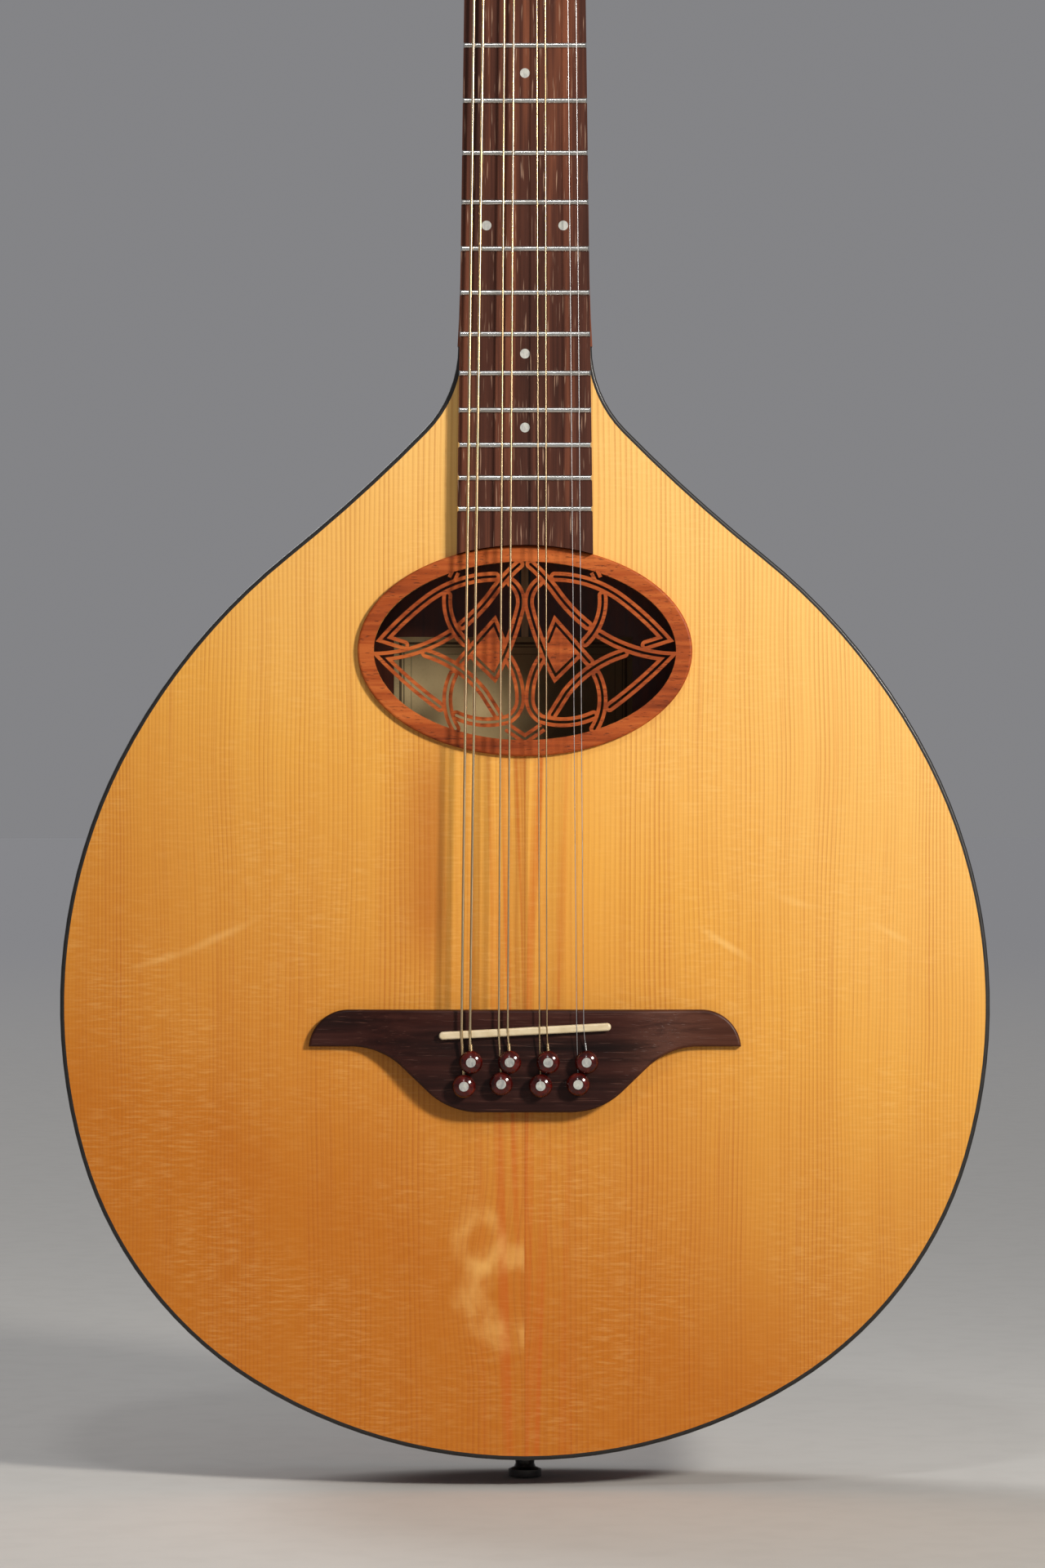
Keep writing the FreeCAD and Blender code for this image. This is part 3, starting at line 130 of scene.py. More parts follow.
# ---------------------------------------------------------------- material kit
class Finish:
    """One material: a Principled shader with the textures that feed it."""

    def __init__(self, name, **uniform):
        self.material = bpy.data.materials.new(name)
        self.material.use_nodes = True
        self.tree = self.material.node_tree
        self.tree.nodes.clear()
        self.shader = self.node("ShaderNodeBsdfPrincipled")
        output = self.node("ShaderNodeOutputMaterial")
        self.tree.links.new(self.shader.outputs["BSDF"], output.inputs["Surface"])
        for socket, value in uniform.items():
            self.shader.inputs[socket.replace("_", " ")].default_value = value
        self.place = self.node("ShaderNodeTexCoord").outputs["Object"]

    def node(self, kind, **settings):
        """A new node of this kind."""
        made = self.tree.nodes.new(kind)
        for key, value in settings.items():
            setattr(made, key, value)
        return made

    def feed(self, socket, value):
        """Links an output to a socket, or sets the socket to a plain value."""
        if isinstance(value, bpy.types.NodeSocket):
            self.tree.links.new(value, socket)
        elif isinstance(value, tuple) and len(value) == 3 and socket.type == "RGBA":
            socket.default_value = screen(value)
        else:
            socket.default_value = value

    def scaled(self, x, y, z, place=None):
        """The place on the object, in metres, times a number along each axis."""
        made = self.node("ShaderNodeMapping")
        made.inputs["Scale"].default_value = (x, y, z)
        self.feed(made.inputs["Vector"], place or self.place)
        return made.outputs["Vector"]

    def parts(self):
        """The x, y and z of the place on the object."""
        made = self.node("ShaderNodeSeparateXYZ")
        self.feed(made.inputs[0], self.place)
        return made.outputs["X"], made.outputs["Y"], made.outputs["Z"]

    def joined(self, x, y, z):
        """A place made from its three parts."""
        made = self.node("ShaderNodeCombineXYZ")
        self.feed(made.inputs["X"], x)
        self.feed(made.inputs["Y"], y)
        self.feed(made.inputs["Z"], z)
        return made.outputs[0]

    def sum(self, operation, first, second=0.0, third=0.0):
        """The result of a Math node, such as MULTIPLY_ADD, on up to three numbers."""
        made = self.node("ShaderNodeMath", operation=operation)
        self.feed(made.inputs[0], first)
        self.feed(made.inputs[1], second)
        self.feed(made.inputs[2], third)
        return made.outputs[0]

    def length(self, first, second):
        """The length of a step with these two parts."""
        square = self.sum("ADD", self.sum("MULTIPLY", first, first), self.sum("MULTIPLY", second, second))
        return self.sum("SQRT", square)

    def noise(self, place, scale=1.0, detail=2.0, roughness=0.5, distortion=0.0):
        """Soft noise, mostly between 0.3 and 0.7."""
        made = self.node("ShaderNodeTexNoise")
        self.feed(made.inputs["Vector"], place)
        made.inputs["Scale"].default_value = scale
        made.inputs["Detail"].default_value = detail
        made.inputs["Roughness"].default_value = roughness
        made.inputs["Distortion"].default_value = distortion
        return made.outputs["Fac"]

    def rings(self, place, scale, distortion=0.0, profile="SAW", direction="X"):
        """Parallel bands across one axis. The saw profile is slow, then sharp, as growth rings are."""
        made = self.node("ShaderNodeTexWave", wave_type="BANDS", bands_direction=direction,
                         wave_profile=profile)
        self.feed(made.inputs["Vector"], place)
        made.inputs["Scale"].default_value = scale
        made.inputs["Distortion"].default_value = distortion
        made.inputs["Detail"].default_value = 0.0
        return made.outputs["Fac"]

    def span(self, value, low, high, new_low=0.0, new_high=1.0, smooth=True):
        """value carried from low..high to new_low..new_high, and held at the ends."""
        made = self.node("ShaderNodeMapRange", interpolation_type="SMOOTHSTEP" if smooth else "LINEAR")
        self.feed(made.inputs["Value"], value)
        limits = (("From Min", low), ("From Max", high), ("To Min", new_low), ("To Max", new_high))
        for name, number in limits:
            self.feed(made.inputs[name], number)
        return made.outputs["Result"]

    def ramp(self, value, *stops):
        """The colour at a value, from stops that each hold a position and a colour."""
        made = self.node("ShaderNodeValToRGB")
        self.feed(made.inputs["Fac"], value)
        elements = made.color_ramp.elements
        while len(elements) < len(stops):
            elements.new(0.5)
        for element, (position, colour) in zip(elements, stops):
            element.position = position
            element.color = screen(colour)
        return made.outputs["Color"]

    def mix(self, share, first, second):
        """Two colours, mixed by the share of the second."""
        made = self.node("ShaderNodeMix", data_type="RGBA", blend_type="MIX")
        self.feed(made.inputs[0], share)
        first_socket, second_socket = [socket for socket in made.inputs if socket.type == "RGBA"]
        self.feed(first_socket, first)
        self.feed(second_socket, second)
        return next(socket for socket in made.outputs if socket.type == "RGBA")

    def colour(self, value):
        """Sets the base colour, and keeps it so that more can be mixed in."""
        self.base = value
        self.feed(self.shader.inputs["Base Color"], value)

    def roughness(self, value):
        self.feed(self.shader.inputs["Roughness"], value)

    def bump(self, *layers):
        """Each layer is a height from 0 to 1 and its depth in metres."""
        normal = None
        for height, depth in layers:
            made = self.node("ShaderNodeBump")
            made.inputs["Strength"].default_value = 1.0
            made.inputs["Distance"].default_value = depth
            self.feed(made.inputs["Height"], height)
            if normal:
                self.feed(made.inputs["Normal"], normal)
            normal = made.outputs["Normal"]
        self.feed(self.shader.inputs["Normal"], normal)

    def reach(self, x, z, half_width, half_height, level=None):
        """Distance from a spot on the front, counted in its half width and height."""
        across, _, up = self.parts()
        share_x = self.sum("DIVIDE", self.sum("SUBTRACT", across, x), half_width)
        share_z = self.sum("DIVIDE", self.sum("SUBTRACT", level or up, z), half_height)
        return self.length(share_x, share_z)

    def near(self, x, z, half_width, half_height, level=None):
        """1 at a spot on the front, falling softly to 0 at its half width and height."""
        return self.span(self.reach(x, z, half_width, half_height, level), 1.0, 0.0)


def coat(finish, *nodes):
    """Gives CAD nodes their material."""
    for name in nodes:
        slots = NODES[name].data.materials
        slots.clear()
        slots.append(finish.material)


# ---------------------------------------------------------------- woods
def spruce_top():
    """Bookmatched spruce under amber satin lacquer, paler towards the neck and the treble side."""
    wood = Finish("spruce_top", Specular_IOR_Level=0.3, Coat_Weight=0.06, Coat_Roughness=0.3)
    x, _, z = wood.parts()
    away = wood.sum("ABSOLUTE", x)
    drift = wood.noise(wood.joined(away, 0.0, wood.sum("MULTIPLY", z, 0.35)), scale=14, detail=2)
    bent = wood.sum("MULTIPLY_ADD", drift, 0.008, away)
    bent = wood.sum("SUBTRACT", bent, wood.sum("MULTIPLY", knot_swell(wood), 0.0045))
    # the rings stand closer together towards the rim
    spread = wood.sum("MULTIPLY", bent, wood.sum("MULTIPLY_ADD", bent, 1.6, 0.72))
    mirrored = wood.joined(bent, 0.0, z)

    fine = wood.rings(wood.joined(spread, 0.0, 0.0), 165)
    strength = wood.noise(wood.scaled(70, 1, 2.2, mirrored), detail=3)
    fibre = wood.noise(wood.scaled(900, 1, 9, mirrored), detail=3, roughness=0.6)
    late = wood.sum("MULTIPLY", wood.span(fine, 0.35, 1.0), wood.span(strength, 0.32, 0.68, 0.28, 1.0))

    # paler towards the neck and the treble side: partly the lacquer's own tone, partly painted light from the
    # lamp at the upper right
    tone = wood.sum("MULTIPLY_ADD", x, 1.15, wood.span(z, BODY_LOW.z, BODY_HIGH.z, smooth=False))
    cloud = wood.noise(wood.scaled(1.0, 1, 0.6), scale=7, detail=3)
    tone = wood.sum("MULTIPLY_ADD", cloud, 0.3, wood.sum("SUBTRACT", tone, 0.15))
    base = wood.ramp(tone, (0.14, SPRUCE_DEEP), (0.55, SPRUCE_AMBER), (0.95, SPRUCE_PALE))
    base = wood.mix(wood.sum("MULTIPLY", late, 0.5), base, SPRUCE_LATE)
    base = wood.mix(wood.span(fibre, 0.5, 0.75, 0.0, 0.28), base, SPRUCE_LATE)

    # orange streaks close to the seam, which fan out a little up the body
    fan = wood.sum("MULTIPLY_ADD", wood.sum("SUBTRACT", z, BRIDGE_HIGH.z), -0.03, away)
    flame_place = wood.joined(wood.sum("MULTIPLY", fan, 210), wood.sum("SIGN", x), wood.sum("MULTIPLY", z, 3))
    flame = wood.noise(flame_place, detail=2)
    flame_share = wood.sum("MULTIPLY", wood.span(away, 0.026, 0.004), wood.span(flame, 0.46, 0.64, 0.0, 0.78))
    base = wood.mix(flame_share, base, SPRUCE_FLAME)
    base = wood.mix(wood.span(away, 0.0005, 0.0001, 0.0, 0.5), base, SPRUCE_LATE)

    silk = wood.noise(wood.scaled(110, 1, 900), detail=3, roughness=0.6)
    patches = wood.noise(wood.place, scale=18, detail=2)
    silk_share = wood.sum("MULTIPLY", wood.span(silk, 0.42, 0.74), wood.span(patches, 0.36, 0.66, 0.05, 0.17))
    base = wood.mix(silk_share, base, SPRUCE_SILK)
    wood.colour(spruce_figure(wood, base))
    wood.roughness(wood.span(fibre, 0.2, 0.8, 0.40, 0.52))
    wood.bump((fibre, 0.00003), (silk, 0.00002))
    return wood


# Bear claws: across, above the tail, half width, half height, slope and strength.
CLAWS = (
    (-0.128, 0.217, 0.024, 0.0030, 0.45, 0.19),
    (-0.152, 0.208, 0.016, 0.0026, 0.30, 0.14),
    (0.084, 0.214, 0.016, 0.0028, -0.62, 0.32),
    (0.152, 0.219, 0.012, 0.0024, -0.50, 0.22),
    (0.112, 0.232, 0.012, 0.0026, -0.30, 0.16),
)
# Pale curls round the knot low on the bass half: across, above the tail, half width, half height
# and strength.
CURLS = ((-0.0190, 0.0915, 0.0085, 0.0110, 0.30), (-0.0035, 0.0680, 0.0185, 0.0165, 0.36))
# The knot itself: across, above the tail, half width and half height.
KNOT = (-0.016, 0.074, 0.034, 0.046)


def knot_swell(wood):
    """How far the rings are pushed aside by the knot."""
    return wood.near(KNOT[0], BODY_LOW.z + KNOT[1], KNOT[2], KNOT[3])


def spruce_figure(wood, base):
    """Pale curls that cross the grain, and one long darker streak beside the strings."""
    x, _, z = wood.parts()
    ripple = wood.noise(wood.scaled(150, 1, 320), detail=3, roughness=0.6, distortion=0.8)
    for across, above_tail, half_width, half_height, slope, strength in CLAWS:
        level = wood.sum("MULTIPLY_ADD", wood.sum("SUBTRACT", x, across), -slope, z)
        spot = wood.near(across, BODY_LOW.z + above_tail, half_width, half_height, level)
        share = wood.sum("MULTIPLY", spot, wood.span(ripple, 0.36, 0.6, 0.2, strength))
        base = wood.mix(share, base, SPRUCE_SILK)

    bass_side = wood.sum("LESS_THAN", x, -0.0002)
    soft = wood.span(wood.noise(wood.scaled(1, 1, 0.6), scale=120, detail=3), 0.32, 0.66, 0.2, 1.0)
    wander = wood.noise(wood.place, scale=70, detail=2)
    for across, above_tail, half_width, half_height, strength in CURLS:
        reach = wood.reach(across, BODY_LOW.z + above_tail, half_width, half_height)
        reach = wood.sum("MULTIPLY_ADD", wood.sum("SUBTRACT", wander, 0.5), 0.9, reach)
        hoop = wood.sum("MULTIPLY", wood.span(reach, 0.45, 0.95), wood.span(reach, 1.6, 1.0))
        hoop = wood.sum("MULTIPLY", hoop, bass_side)
        share = wood.sum("MULTIPLY", hoop, wood.sum("MULTIPLY", soft, strength))
        base = wood.mix(share, base, SPRUCE_PALE)

    long_share = wood.sum("MULTIPLY", wood.span(z, HOLE_LOW.z - 0.105, HOLE_LOW.z - 0.06),
                          wood.span(z, HOLE_LOW.z + 0.03, HOLE_LOW.z - 0.02))
    wide_share = wood.sum("MULTIPLY", wood.span(x, -0.062, -0.038), wood.span(x, -0.030, -0.036))
    share = wood.sum("MULTIPLY", wood.sum("MULTIPLY", long_share, wide_share), 0.55)
    return wood.mix(share, base, SPRUCE_LATE)


def streaked_wood(name, colours, grain, pores, pore_colour, pore_share, **uniform):
    """Open-pored wood. grain and pores are scales along X, Y and Z, and are small along the fibres."""
    wood = Finish(name, **uniform)
    streaks = wood.noise(wood.scaled(*grain), detail=4, roughness=0.62, distortion=0.25)
    broad = wood.noise(wood.scaled(*[scale * 0.22 for scale in grain]), detail=2)
    tone = wood.sum("MULTIPLY_ADD", broad, 0.55, wood.sum("MULTIPLY", streaks, 0.5))
    stops = [(0.34 + 0.36 * index / (len(colours) - 1), colour) for index, colour in enumerate(colours)]
    base = wood.ramp(tone, *stops)
    dashes = wood.noise(wood.scaled(*pores), detail=2, roughness=0.4)
    open_pores = wood.span(dashes, 0.62, 0.72)
    wood.colour(wood.mix(wood.sum("MULTIPLY", open_pores, pore_share), base, pore_colour))
    return wood, streaks, open_pores


def rosewood_board():
    """Oiled rosewood with the grain along the neck and dusty pores."""
    wood, streaks, open_pores = streaked_wood(
        "rosewood_board", BOARD_WOOD, (330, 330, 7), (1500, 1500, 60), BOARD_PORE, 0.75,
        Specular_IOR_Level=0.2)
    wood.roughness(wood.span(streaks, 0.3, 0.7, 0.42, 0.58))
    wood.bump((streaks, 0.00004), (wood.sum("SUBTRACT", 1.0, open_pores), 0.00006))
    return wood


def rosewood_bridge():
    """Very dark polished rosewood with the grain across the body, and painted light on the treble wing."""
    wood, streaks, open_pores = streaked_wood(
        "rosewood_bridge", BRIDGE_WOOD, (8, 420, 420), (70, 1700, 1700), BRIDGE_PORE, 0.4,
        Specular_IOR_Level=0.22)
    # the paler wing stands in for the light that falls on it in the photograph
    treble_wing_light = wood.span(wood.parts()[0], 0.03, 0.065, 0.0, 0.75)
    share = wood.sum("MULTIPLY", treble_wing_light, wood.span(streaks, 0.3, 0.6, 0.35, 1.0))
    wood.colour(wood.mix(share, wood.base, BRIDGE_PAINTED_LIGHT))
    wood.roughness(wood.span(streaks, 0.3, 0.7, 0.34, 0.46))
    wood.bump((streaks, 0.00003), (wood.sum("SUBTRACT", 1.0, open_pores), 0.00005))
    return wood


def rosewood_head():
    """The head's face, in satin rosewood."""
    wood, streaks, open_pores = streaked_wood(
        "rosewood_head", HEAD_WOOD, (300, 300, 6), (1400, 1400, 50), HEAD_PORE, 0.5,
        Specular_IOR_Level=0.2, Coat_Weight=0.08, Coat_Roughness=0.2)
    wood.roughness(wood.span(streaks, 0.3, 0.7, 0.5, 0.6))
    wood.bump((streaks, 0.00001), (wood.sum("SUBTRACT", 1.0, open_pores), 0.00001))
    return wood


def rosette_mahogany():
    """Bare-looking mahogany with the grain across the body and dark pores."""
    wood, streaks, open_pores = streaked_wood(
        "rosette_mahogany", ROSETTE_WOOD, (30, 420, 420), (300, 2100, 2100), ROSETTE_PORE, 0.6,
        Specular_IOR_Level=0.22)
    wood.roughness(wood.span(streaks, 0.3, 0.7, 0.42, 0.58))
    wood.bump((streaks, 0.00005), (wood.sum("SUBTRACT", 1.0, open_pores), 0.00008))
    return wood


def neck_mahogany():
    """Satin mahogany with the grain along the neck."""
    wood, streaks, open_pores = streaked_wood(
        "neck_mahogany", NECK_WOOD, (210, 210, 7), (1300, 1300, 45), NECK_PORE, 0.6,
        Coat_Weight=0.2, Coat_Roughness=0.35)
    wood.roughness(wood.span(streaks, 0.3, 0.7, 0.40, 0.5))
    wood.bump((streaks, 0.00002), (wood.sum("SUBTRACT", 1.0, open_pores), 0.00003))
    return wood


def back_mahogany():
    """The bookmatched back, with ribbon figure along the body."""
    wood = Finish("back_mahogany", Coat_Weight=0.3, Coat_Roughness=0.3)
    x, _, z = wood.parts()
    away = wood.sum("ABSOLUTE", x)
    mirrored = wood.joined(away, 0.0, z)
    streaks = wood.noise(wood.scaled(170, 1, 4, mirrored), detail=4, roughness=0.6, distortion=0.3)
    ribbon = wood.noise(wood.scaled(42, 1, 2.4, mirrored), detail=2)
    flame = wood.noise(wood.scaled(12, 1, 38, mirrored), detail=2, distortion=0.8)
    tone = wood.sum("MULTIPLY_ADD", ribbon, 0.45, wood.sum("MULTIPLY", streaks, 0.55))
    base = wood.ramp(tone, *zip((0.34, 0.52, 0.70), BACK_WOOD))
    base = wood.mix(wood.span(flame, 0.46, 0.74, 0.0, 0.12), base, BACK_FLAME)
    dashes = wood.noise(wood.scaled(1200, 1, 40), detail=2)
    open_pores = wood.span(dashes, 0.62, 0.72)
    wood.colour(wood.mix(wood.sum("MULTIPLY", open_pores, 0.55), base, BODY_PORE))
    wood.roughness(wood.span(streaks, 0.3, 0.7, 0.34, 0.44))
    wood.bump((streaks, 0.00002), (wood.sum("SUBTRACT", 1.0, open_pores), 0.00003))
    return wood


def side_mahogany():
    """The bent sides: the grain runs round the body, so it changes only with depth."""
    wood, streaks, open_pores = streaked_wood(
        "side_mahogany", SIDE_WOOD, (5, 230, 5), (38, 1300, 38), BODY_PORE, 0.55,
        Coat_Weight=0.3, Coat_Roughness=0.3)
    wood.roughness(wood.span(streaks, 0.3, 0.7, 0.34, 0.44))
    wood.bump((streaks, 0.00002), (wood.sum("SUBTRACT", 1.0, open_pores), 0.00003))
    return wood


def inner_mahogany():
    """Unfinished wood of the blocks and linings."""
    wood, streaks, open_pores = streaked_wood(
        "inner_mahogany", INNER_WOOD, (60, 320, 60), (90, 1300, 90), INNER_PORE, 0.5)
    wood.roughness(0.75)
    wood.bump((streaks, 0.00006), (wood.sum("SUBTRACT", 1.0, open_pores), 0.00006))
    return wood


def bracing_spruce():
    """Bare spruce of the braces, with its fibres across the body."""
    wood = Finish("bracing_spruce")
    rings = wood.rings(wood.scaled(0.1, 1.0, 1.0), 190, distortion=1.5, direction="Z")
    fibre = wood.noise(wood.scaled(12, 500, 500), detail=3)
    base = wood.ramp(rings, (0.0, BRACE_EARLY), (0.8, BRACE_MID), (1.0, BRACE_LATE))
    wood.colour(wood.mix(wood.span(fibre, 0.4, 0.7, 0.0, 0.3), base, BRACE_FIBRE))
    wood.roughness(0.7)
    wood.bump((fibre, 0.00004))
    return wood


def inlay_maple():
    """The pale strip down the middle of the back, with dark edges."""
    wood = Finish("inlay_maple", Coat_Weight=0.3, Coat_Roughness=0.3)
    x, _, _ = wood.parts()
    edge = wood.span(wood.sum("ABSOLUTE", x), 0.0014, 0.0016)
    fibre = wood.noise(wood.scaled(900, 1, 30), detail=3)
    middle = wood.ramp(fibre, (0.35, MAPLE_DARK), (0.65, MAPLE_LIGHT))
    wood.colour(wood.mix(edge, middle, MAPLE_EDGE))
    wood.roughness(0.38)
    wood.bump((fibre, 0.00001))
    return wood


# ---------------------------------------------------------------- other materials
def moulded_black(name, base, roughness, coat_weight):
    """Black plastic with hairline scratches and a little dust."""
    made = Finish(name, Coat_Weight=coat_weight, Coat_Roughness=0.12)
    scratches = made.noise(made.scaled(900, 90, 260), detail=3, roughness=0.7, distortion=0.6)
    dust = made.noise(made.place, scale=1400, detail=1)
    colour = made.mix(made.span(scratches, 0.55, 0.8, 0.0, 0.35), base, tuple(value + 26 for value in base))
    made.colour(made.mix(made.span(dust, 0.68, 0.76, 0.0, 0.12), colour, DUST))
    made.roughness(made.span(scratches, 0.3, 0.75, roughness, roughness + 0.14))
    made.bump((scratches, 0.000006))
    return made


def bone():
    """Creamy bone, a little translucent, with darker fibres."""
    made = Finish("bone", Specular_IOR_Level=0.5, Coat_Weight=0.2, Coat_Roughness=0.2)
    made.shader.inputs["Subsurface Weight"].default_value = 0.08
    made.shader.inputs["Subsurface Radius"].default_value = (0.0012, 0.0008, 0.0005)
    cloud = made.noise(made.place, scale=180, detail=3)
    fibre = made.noise(made.scaled(70, 1300, 1300), detail=2)
    base = made.ramp(cloud, (0.3, BONE_DARK), (0.7, BONE_LIGHT))
    made.colour(made.mix(made.span(fibre, 0.58, 0.72, 0.0, 0.35), base, BONE_FIBRE))
    made.roughness(made.span(cloud, 0.3, 0.7, 0.30, 0.42))
    made.bump((fibre, 0.00001))
    return made


def pearl(name, light, dark):
    """Mother-of-pearl with cloudy bands."""
    made = Finish(name, Coat_Weight=0.4, Coat_Roughness=0.1)
    bands = made.noise(made.scaled(500, 500, 260), detail=3, distortion=1.4)
    tint = made.noise(made.place, scale=300, detail=1)
    base = made.ramp(bands, (0.3, dark), (0.7, light))
    made.colour(made.mix(made.span(tint, 0.4, 0.7, 0.0, 0.35), base, PEARL_TINT))
    made.roughness(made.span(bands, 0.3, 0.7, 0.2, 0.32))
    made.bump((bands, 0.000004))
    return made


def pin_resin():
    """Glossy, cloudy dark red resin, with faint turning marks round each pin."""
    made = Finish("pin_resin", Coat_Weight=0.15, Coat_Roughness=0.04, Specular_IOR_Level=0.35)
    cloud = made.noise(made.scaled(300, 240, 300), detail=3, distortion=0.8)
    turning = made.rings(made.place, 600, distortion=0.4, profile="SIN", direction="Y")
    made.colour(made.ramp(cloud, (0.3, RESIN_DEEP), (0.55, RESIN_RED), (0.8, RESIN_LIGHT)))
    made.roughness(made.span(turning, 0.0, 1.0, 0.12, 0.18))
    made.bump((turning, 0.000003))
    return made


def metal(name, base, dull, roughness, scratch_scale):
    """Bare or plated metal with brushed scratches and duller patches."""
    made = Finish(name, Metallic=1.0)
    scratches = made.noise(made.scaled(*scratch_scale), detail=3, roughness=0.7)
    patches = made.noise(made.place, scale=120, detail=3, distortion=0.5)
    made.colour(made.mix(made.span(patches, 0.42, 0.7, 0.0, 0.6), base, dull))
    cloudy = made.span(patches, 0.35, 0.7, roughness - 0.05, roughness + 0.08)
    made.roughness(made.sum("MULTIPLY_ADD", scratches, 0.16, cloudy))
    made.bump((scratches, 0.000004))
    return made


def wound_bronze():
    """Bronze wrap wire round a core: close turns along each string, tarnished in places, with painted shade
    in the grooves between the turns.
    """
    made = Finish("wound_bronze", Metallic=1.0)
    turns = made.rings(made.scaled(1, 1, 1), 1050, profile="SIN", direction="Z")
    tarnish = made.noise(made.scaled(900, 200, 26), detail=3)
    base = made.mix(made.span(tarnish, 0.4, 0.7, 0.0, 0.75), BRONZE_BRIGHT, BRONZE_DULL)
    # painted shade in the grooves between the turns
    made.colour(made.mix(made.span(turns, 0.0, 0.4, 0.15, 0.0), base, BRONZE_GROOVE_SHADE))
    made.roughness(made.span(tarnish, 0.3, 0.7, 0.20, 0.32))
    made.bump((turns, 0.000006))
    return made


# The lines of the label's border: distance from the paper's edge, width and strength.
BORDER_LINES = ((0.0022, 0.0011, 0.85), (0.0040, 0.0005, 0.75), (0.0072, 0.0004, 0.5))


def label_paper():
    """Cream paper with a border of three ruled lines and no lettering, with painted shade towards the treble
    side.
    """
    made = Finish("label_paper")
    x, _, z = made.parts()
    insets = []
    for value, low, high in ((x, LABEL_LOW.x, LABEL_HIGH.x), (z, LABEL_LOW.z, LABEL_HIGH.z)):
        from_low = made.sum("SUBTRACT", value, low)
        insets.append(made.sum("MINIMUM", from_low, made.sum("SUBTRACT", high, value)))
    inset = made.sum("MINIMUM", *insets)
    fibre = made.noise(made.place, scale=900, detail=4, roughness=0.7)
    age = made.noise(made.place, scale=22, detail=3)
    base = made.mix(made.span(age, 0.35, 0.7, 0.0, 0.5), PAPER_LIGHT, PAPER_AGED)
    base = made.mix(made.span(fibre, 0.5, 0.75, 0.0, 0.25), base, PAPER_FIBRE)
    for start, width, strength in BORDER_LINES:
        inside = made.sum("GREATER_THAN", inset, start)
        outside = made.sum("LESS_THAN", inset, start + width)
        line = made.sum("MULTIPLY", inside, outside)
        base = made.mix(made.sum("MULTIPLY", line, strength), base, INK)
    # browner towards the treble side, which stands in for the shade on it in the photograph
    made.colour(made.mix(made.span(x, -0.014, 0.022, 0.0, 0.7), base, PAPER_PAINTED_SHADE))
    made.roughness(0.85)
    made.bump((fibre, 0.00003))
    return made


KNOB_SPAN = 0.0134             # from a knob's outer end to where its shaft starts


def tuner_knob(number):
    """Black knob on a nickel shaft: the knob is the outer part of each button."""
    made = Finish(f"tuner_knob_{number}", Coat_Weight=0.25, Coat_Roughness=0.1)
    low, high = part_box(f"tuner_button_{number}")
    side = 1.0 if high.x > -low.x else -1.0
    inner = max(high.x, -low.x) - KNOB_SPAN
    x, _, _ = made.parts()
    knob = made.sum("GREATER_THAN", made.sum("MULTIPLY", x, side), inner)
    scratches = made.noise(made.scaled(500, 160, 160), detail=3, roughness=0.7, distortion=0.6)
    black = made.mix(made.span(scratches, 0.55, 0.8, 0.0, 0.35), KNOB_BLACK, KNOB_SCRATCH)
    silver = made.mix(made.span(scratches, 0.4, 0.7, 0.0, 0.5), NICKEL_BRIGHT, SHAFT_DULL)
    made.colour(made.mix(knob, silver, black))
    made.feed(made.shader.inputs["Metallic"], made.sum("SUBTRACT", 1.0, knob))
    made.roughness(made.span(scratches, 0.3, 0.75, 0.18, 0.32))
    made.bump((scratches, 0.000005))
    return made


def finish_nodes():
    """Gives every CAD node its material, and returns the plain steel for the wires added later."""
    coat(spruce_top(), "soundboard_bass_half", "soundboard_treble_half")
    coat(back_mahogany(), "back_bass_half", "back_treble_half")
    coat(side_mahogany(), "side_bass", "side_treble")
    coat(inlay_maple(), "back_centre_strip")
    coat(inner_mahogany(), "top_linings", "back_linings", "neck_block", "tail_block")
    coat(bracing_spruce(), "soundboard_braces", "back_braces")
    coat(moulded_black("binding_black", (20, 17, 15), 0.42, 0.12), "top_binding", "back_binding")
    coat(rosette_mahogany(), "soundhole_rosette")
    coat(neck_mahogany(), "neck", "heel_cap")
    coat(rosewood_board(), "fingerboard")
    coat(rosewood_bridge(), "bridge", "bridge_plate")
    coat(rosewood_head(), "headplate")
    coat(metal("fret_nickel", (212, 211, 206), (160, 157, 150), 0.2, (40, 400, 2600)), "frets")
    coat(pearl("pearl_dots", (204, 202, 196), (160, 162, 160)), "position_dots")
    coat(pearl("pearl_pins", (178, 176, 170), (134, 136, 136)), "pin_inlays")
    coat(bone(), "nut", "saddle")
    coat(pin_resin(), "bridge_pins")
    plain_steel = metal("plain_steel", (214, 214, 216), (168, 166, 164), 0.22, (2600, 2600, 40))
    coat(plain_steel, "strings_e_course")
    coat(wound_bronze(), "strings_g_course", "strings_d_course", "strings_a_course")
    coat(metal("brass", (214, 170, 92), (164, 118, 58), 0.3, (700, 700, 700)), "ball_ends", "truss_rod_nut")
    coat(metal("steel", (176, 178, 182), (120, 120, 122), 0.36, (200, 200, 1800)), "truss_rod", "neck_bolts")
    coat(label_paper(), "paper_label")
    coat(moulded_black("cover_black", (22, 20, 20), 0.3, 0.2), "truss_rod_cover")
    nickel = metal("tuner_nickel", NICKEL_BRIGHT, (170, 166, 156), 0.22, (260, 1500, 700))
    coat(nickel, "tuner_housings", "tuner_covers", "tuner_bushings", "tuner_screws",
         "truss_cover_screws", *[f"tuner_post_{number}" for number in STRING_NUMBERS])
    coat(moulded_black("button_black", (18, 17, 17), 0.28, 0.3), "strap_button")
    for number in STRING_NUMBERS:
        coat(tuner_knob(number), f"tuner_button_{number}")
    return plain_steel


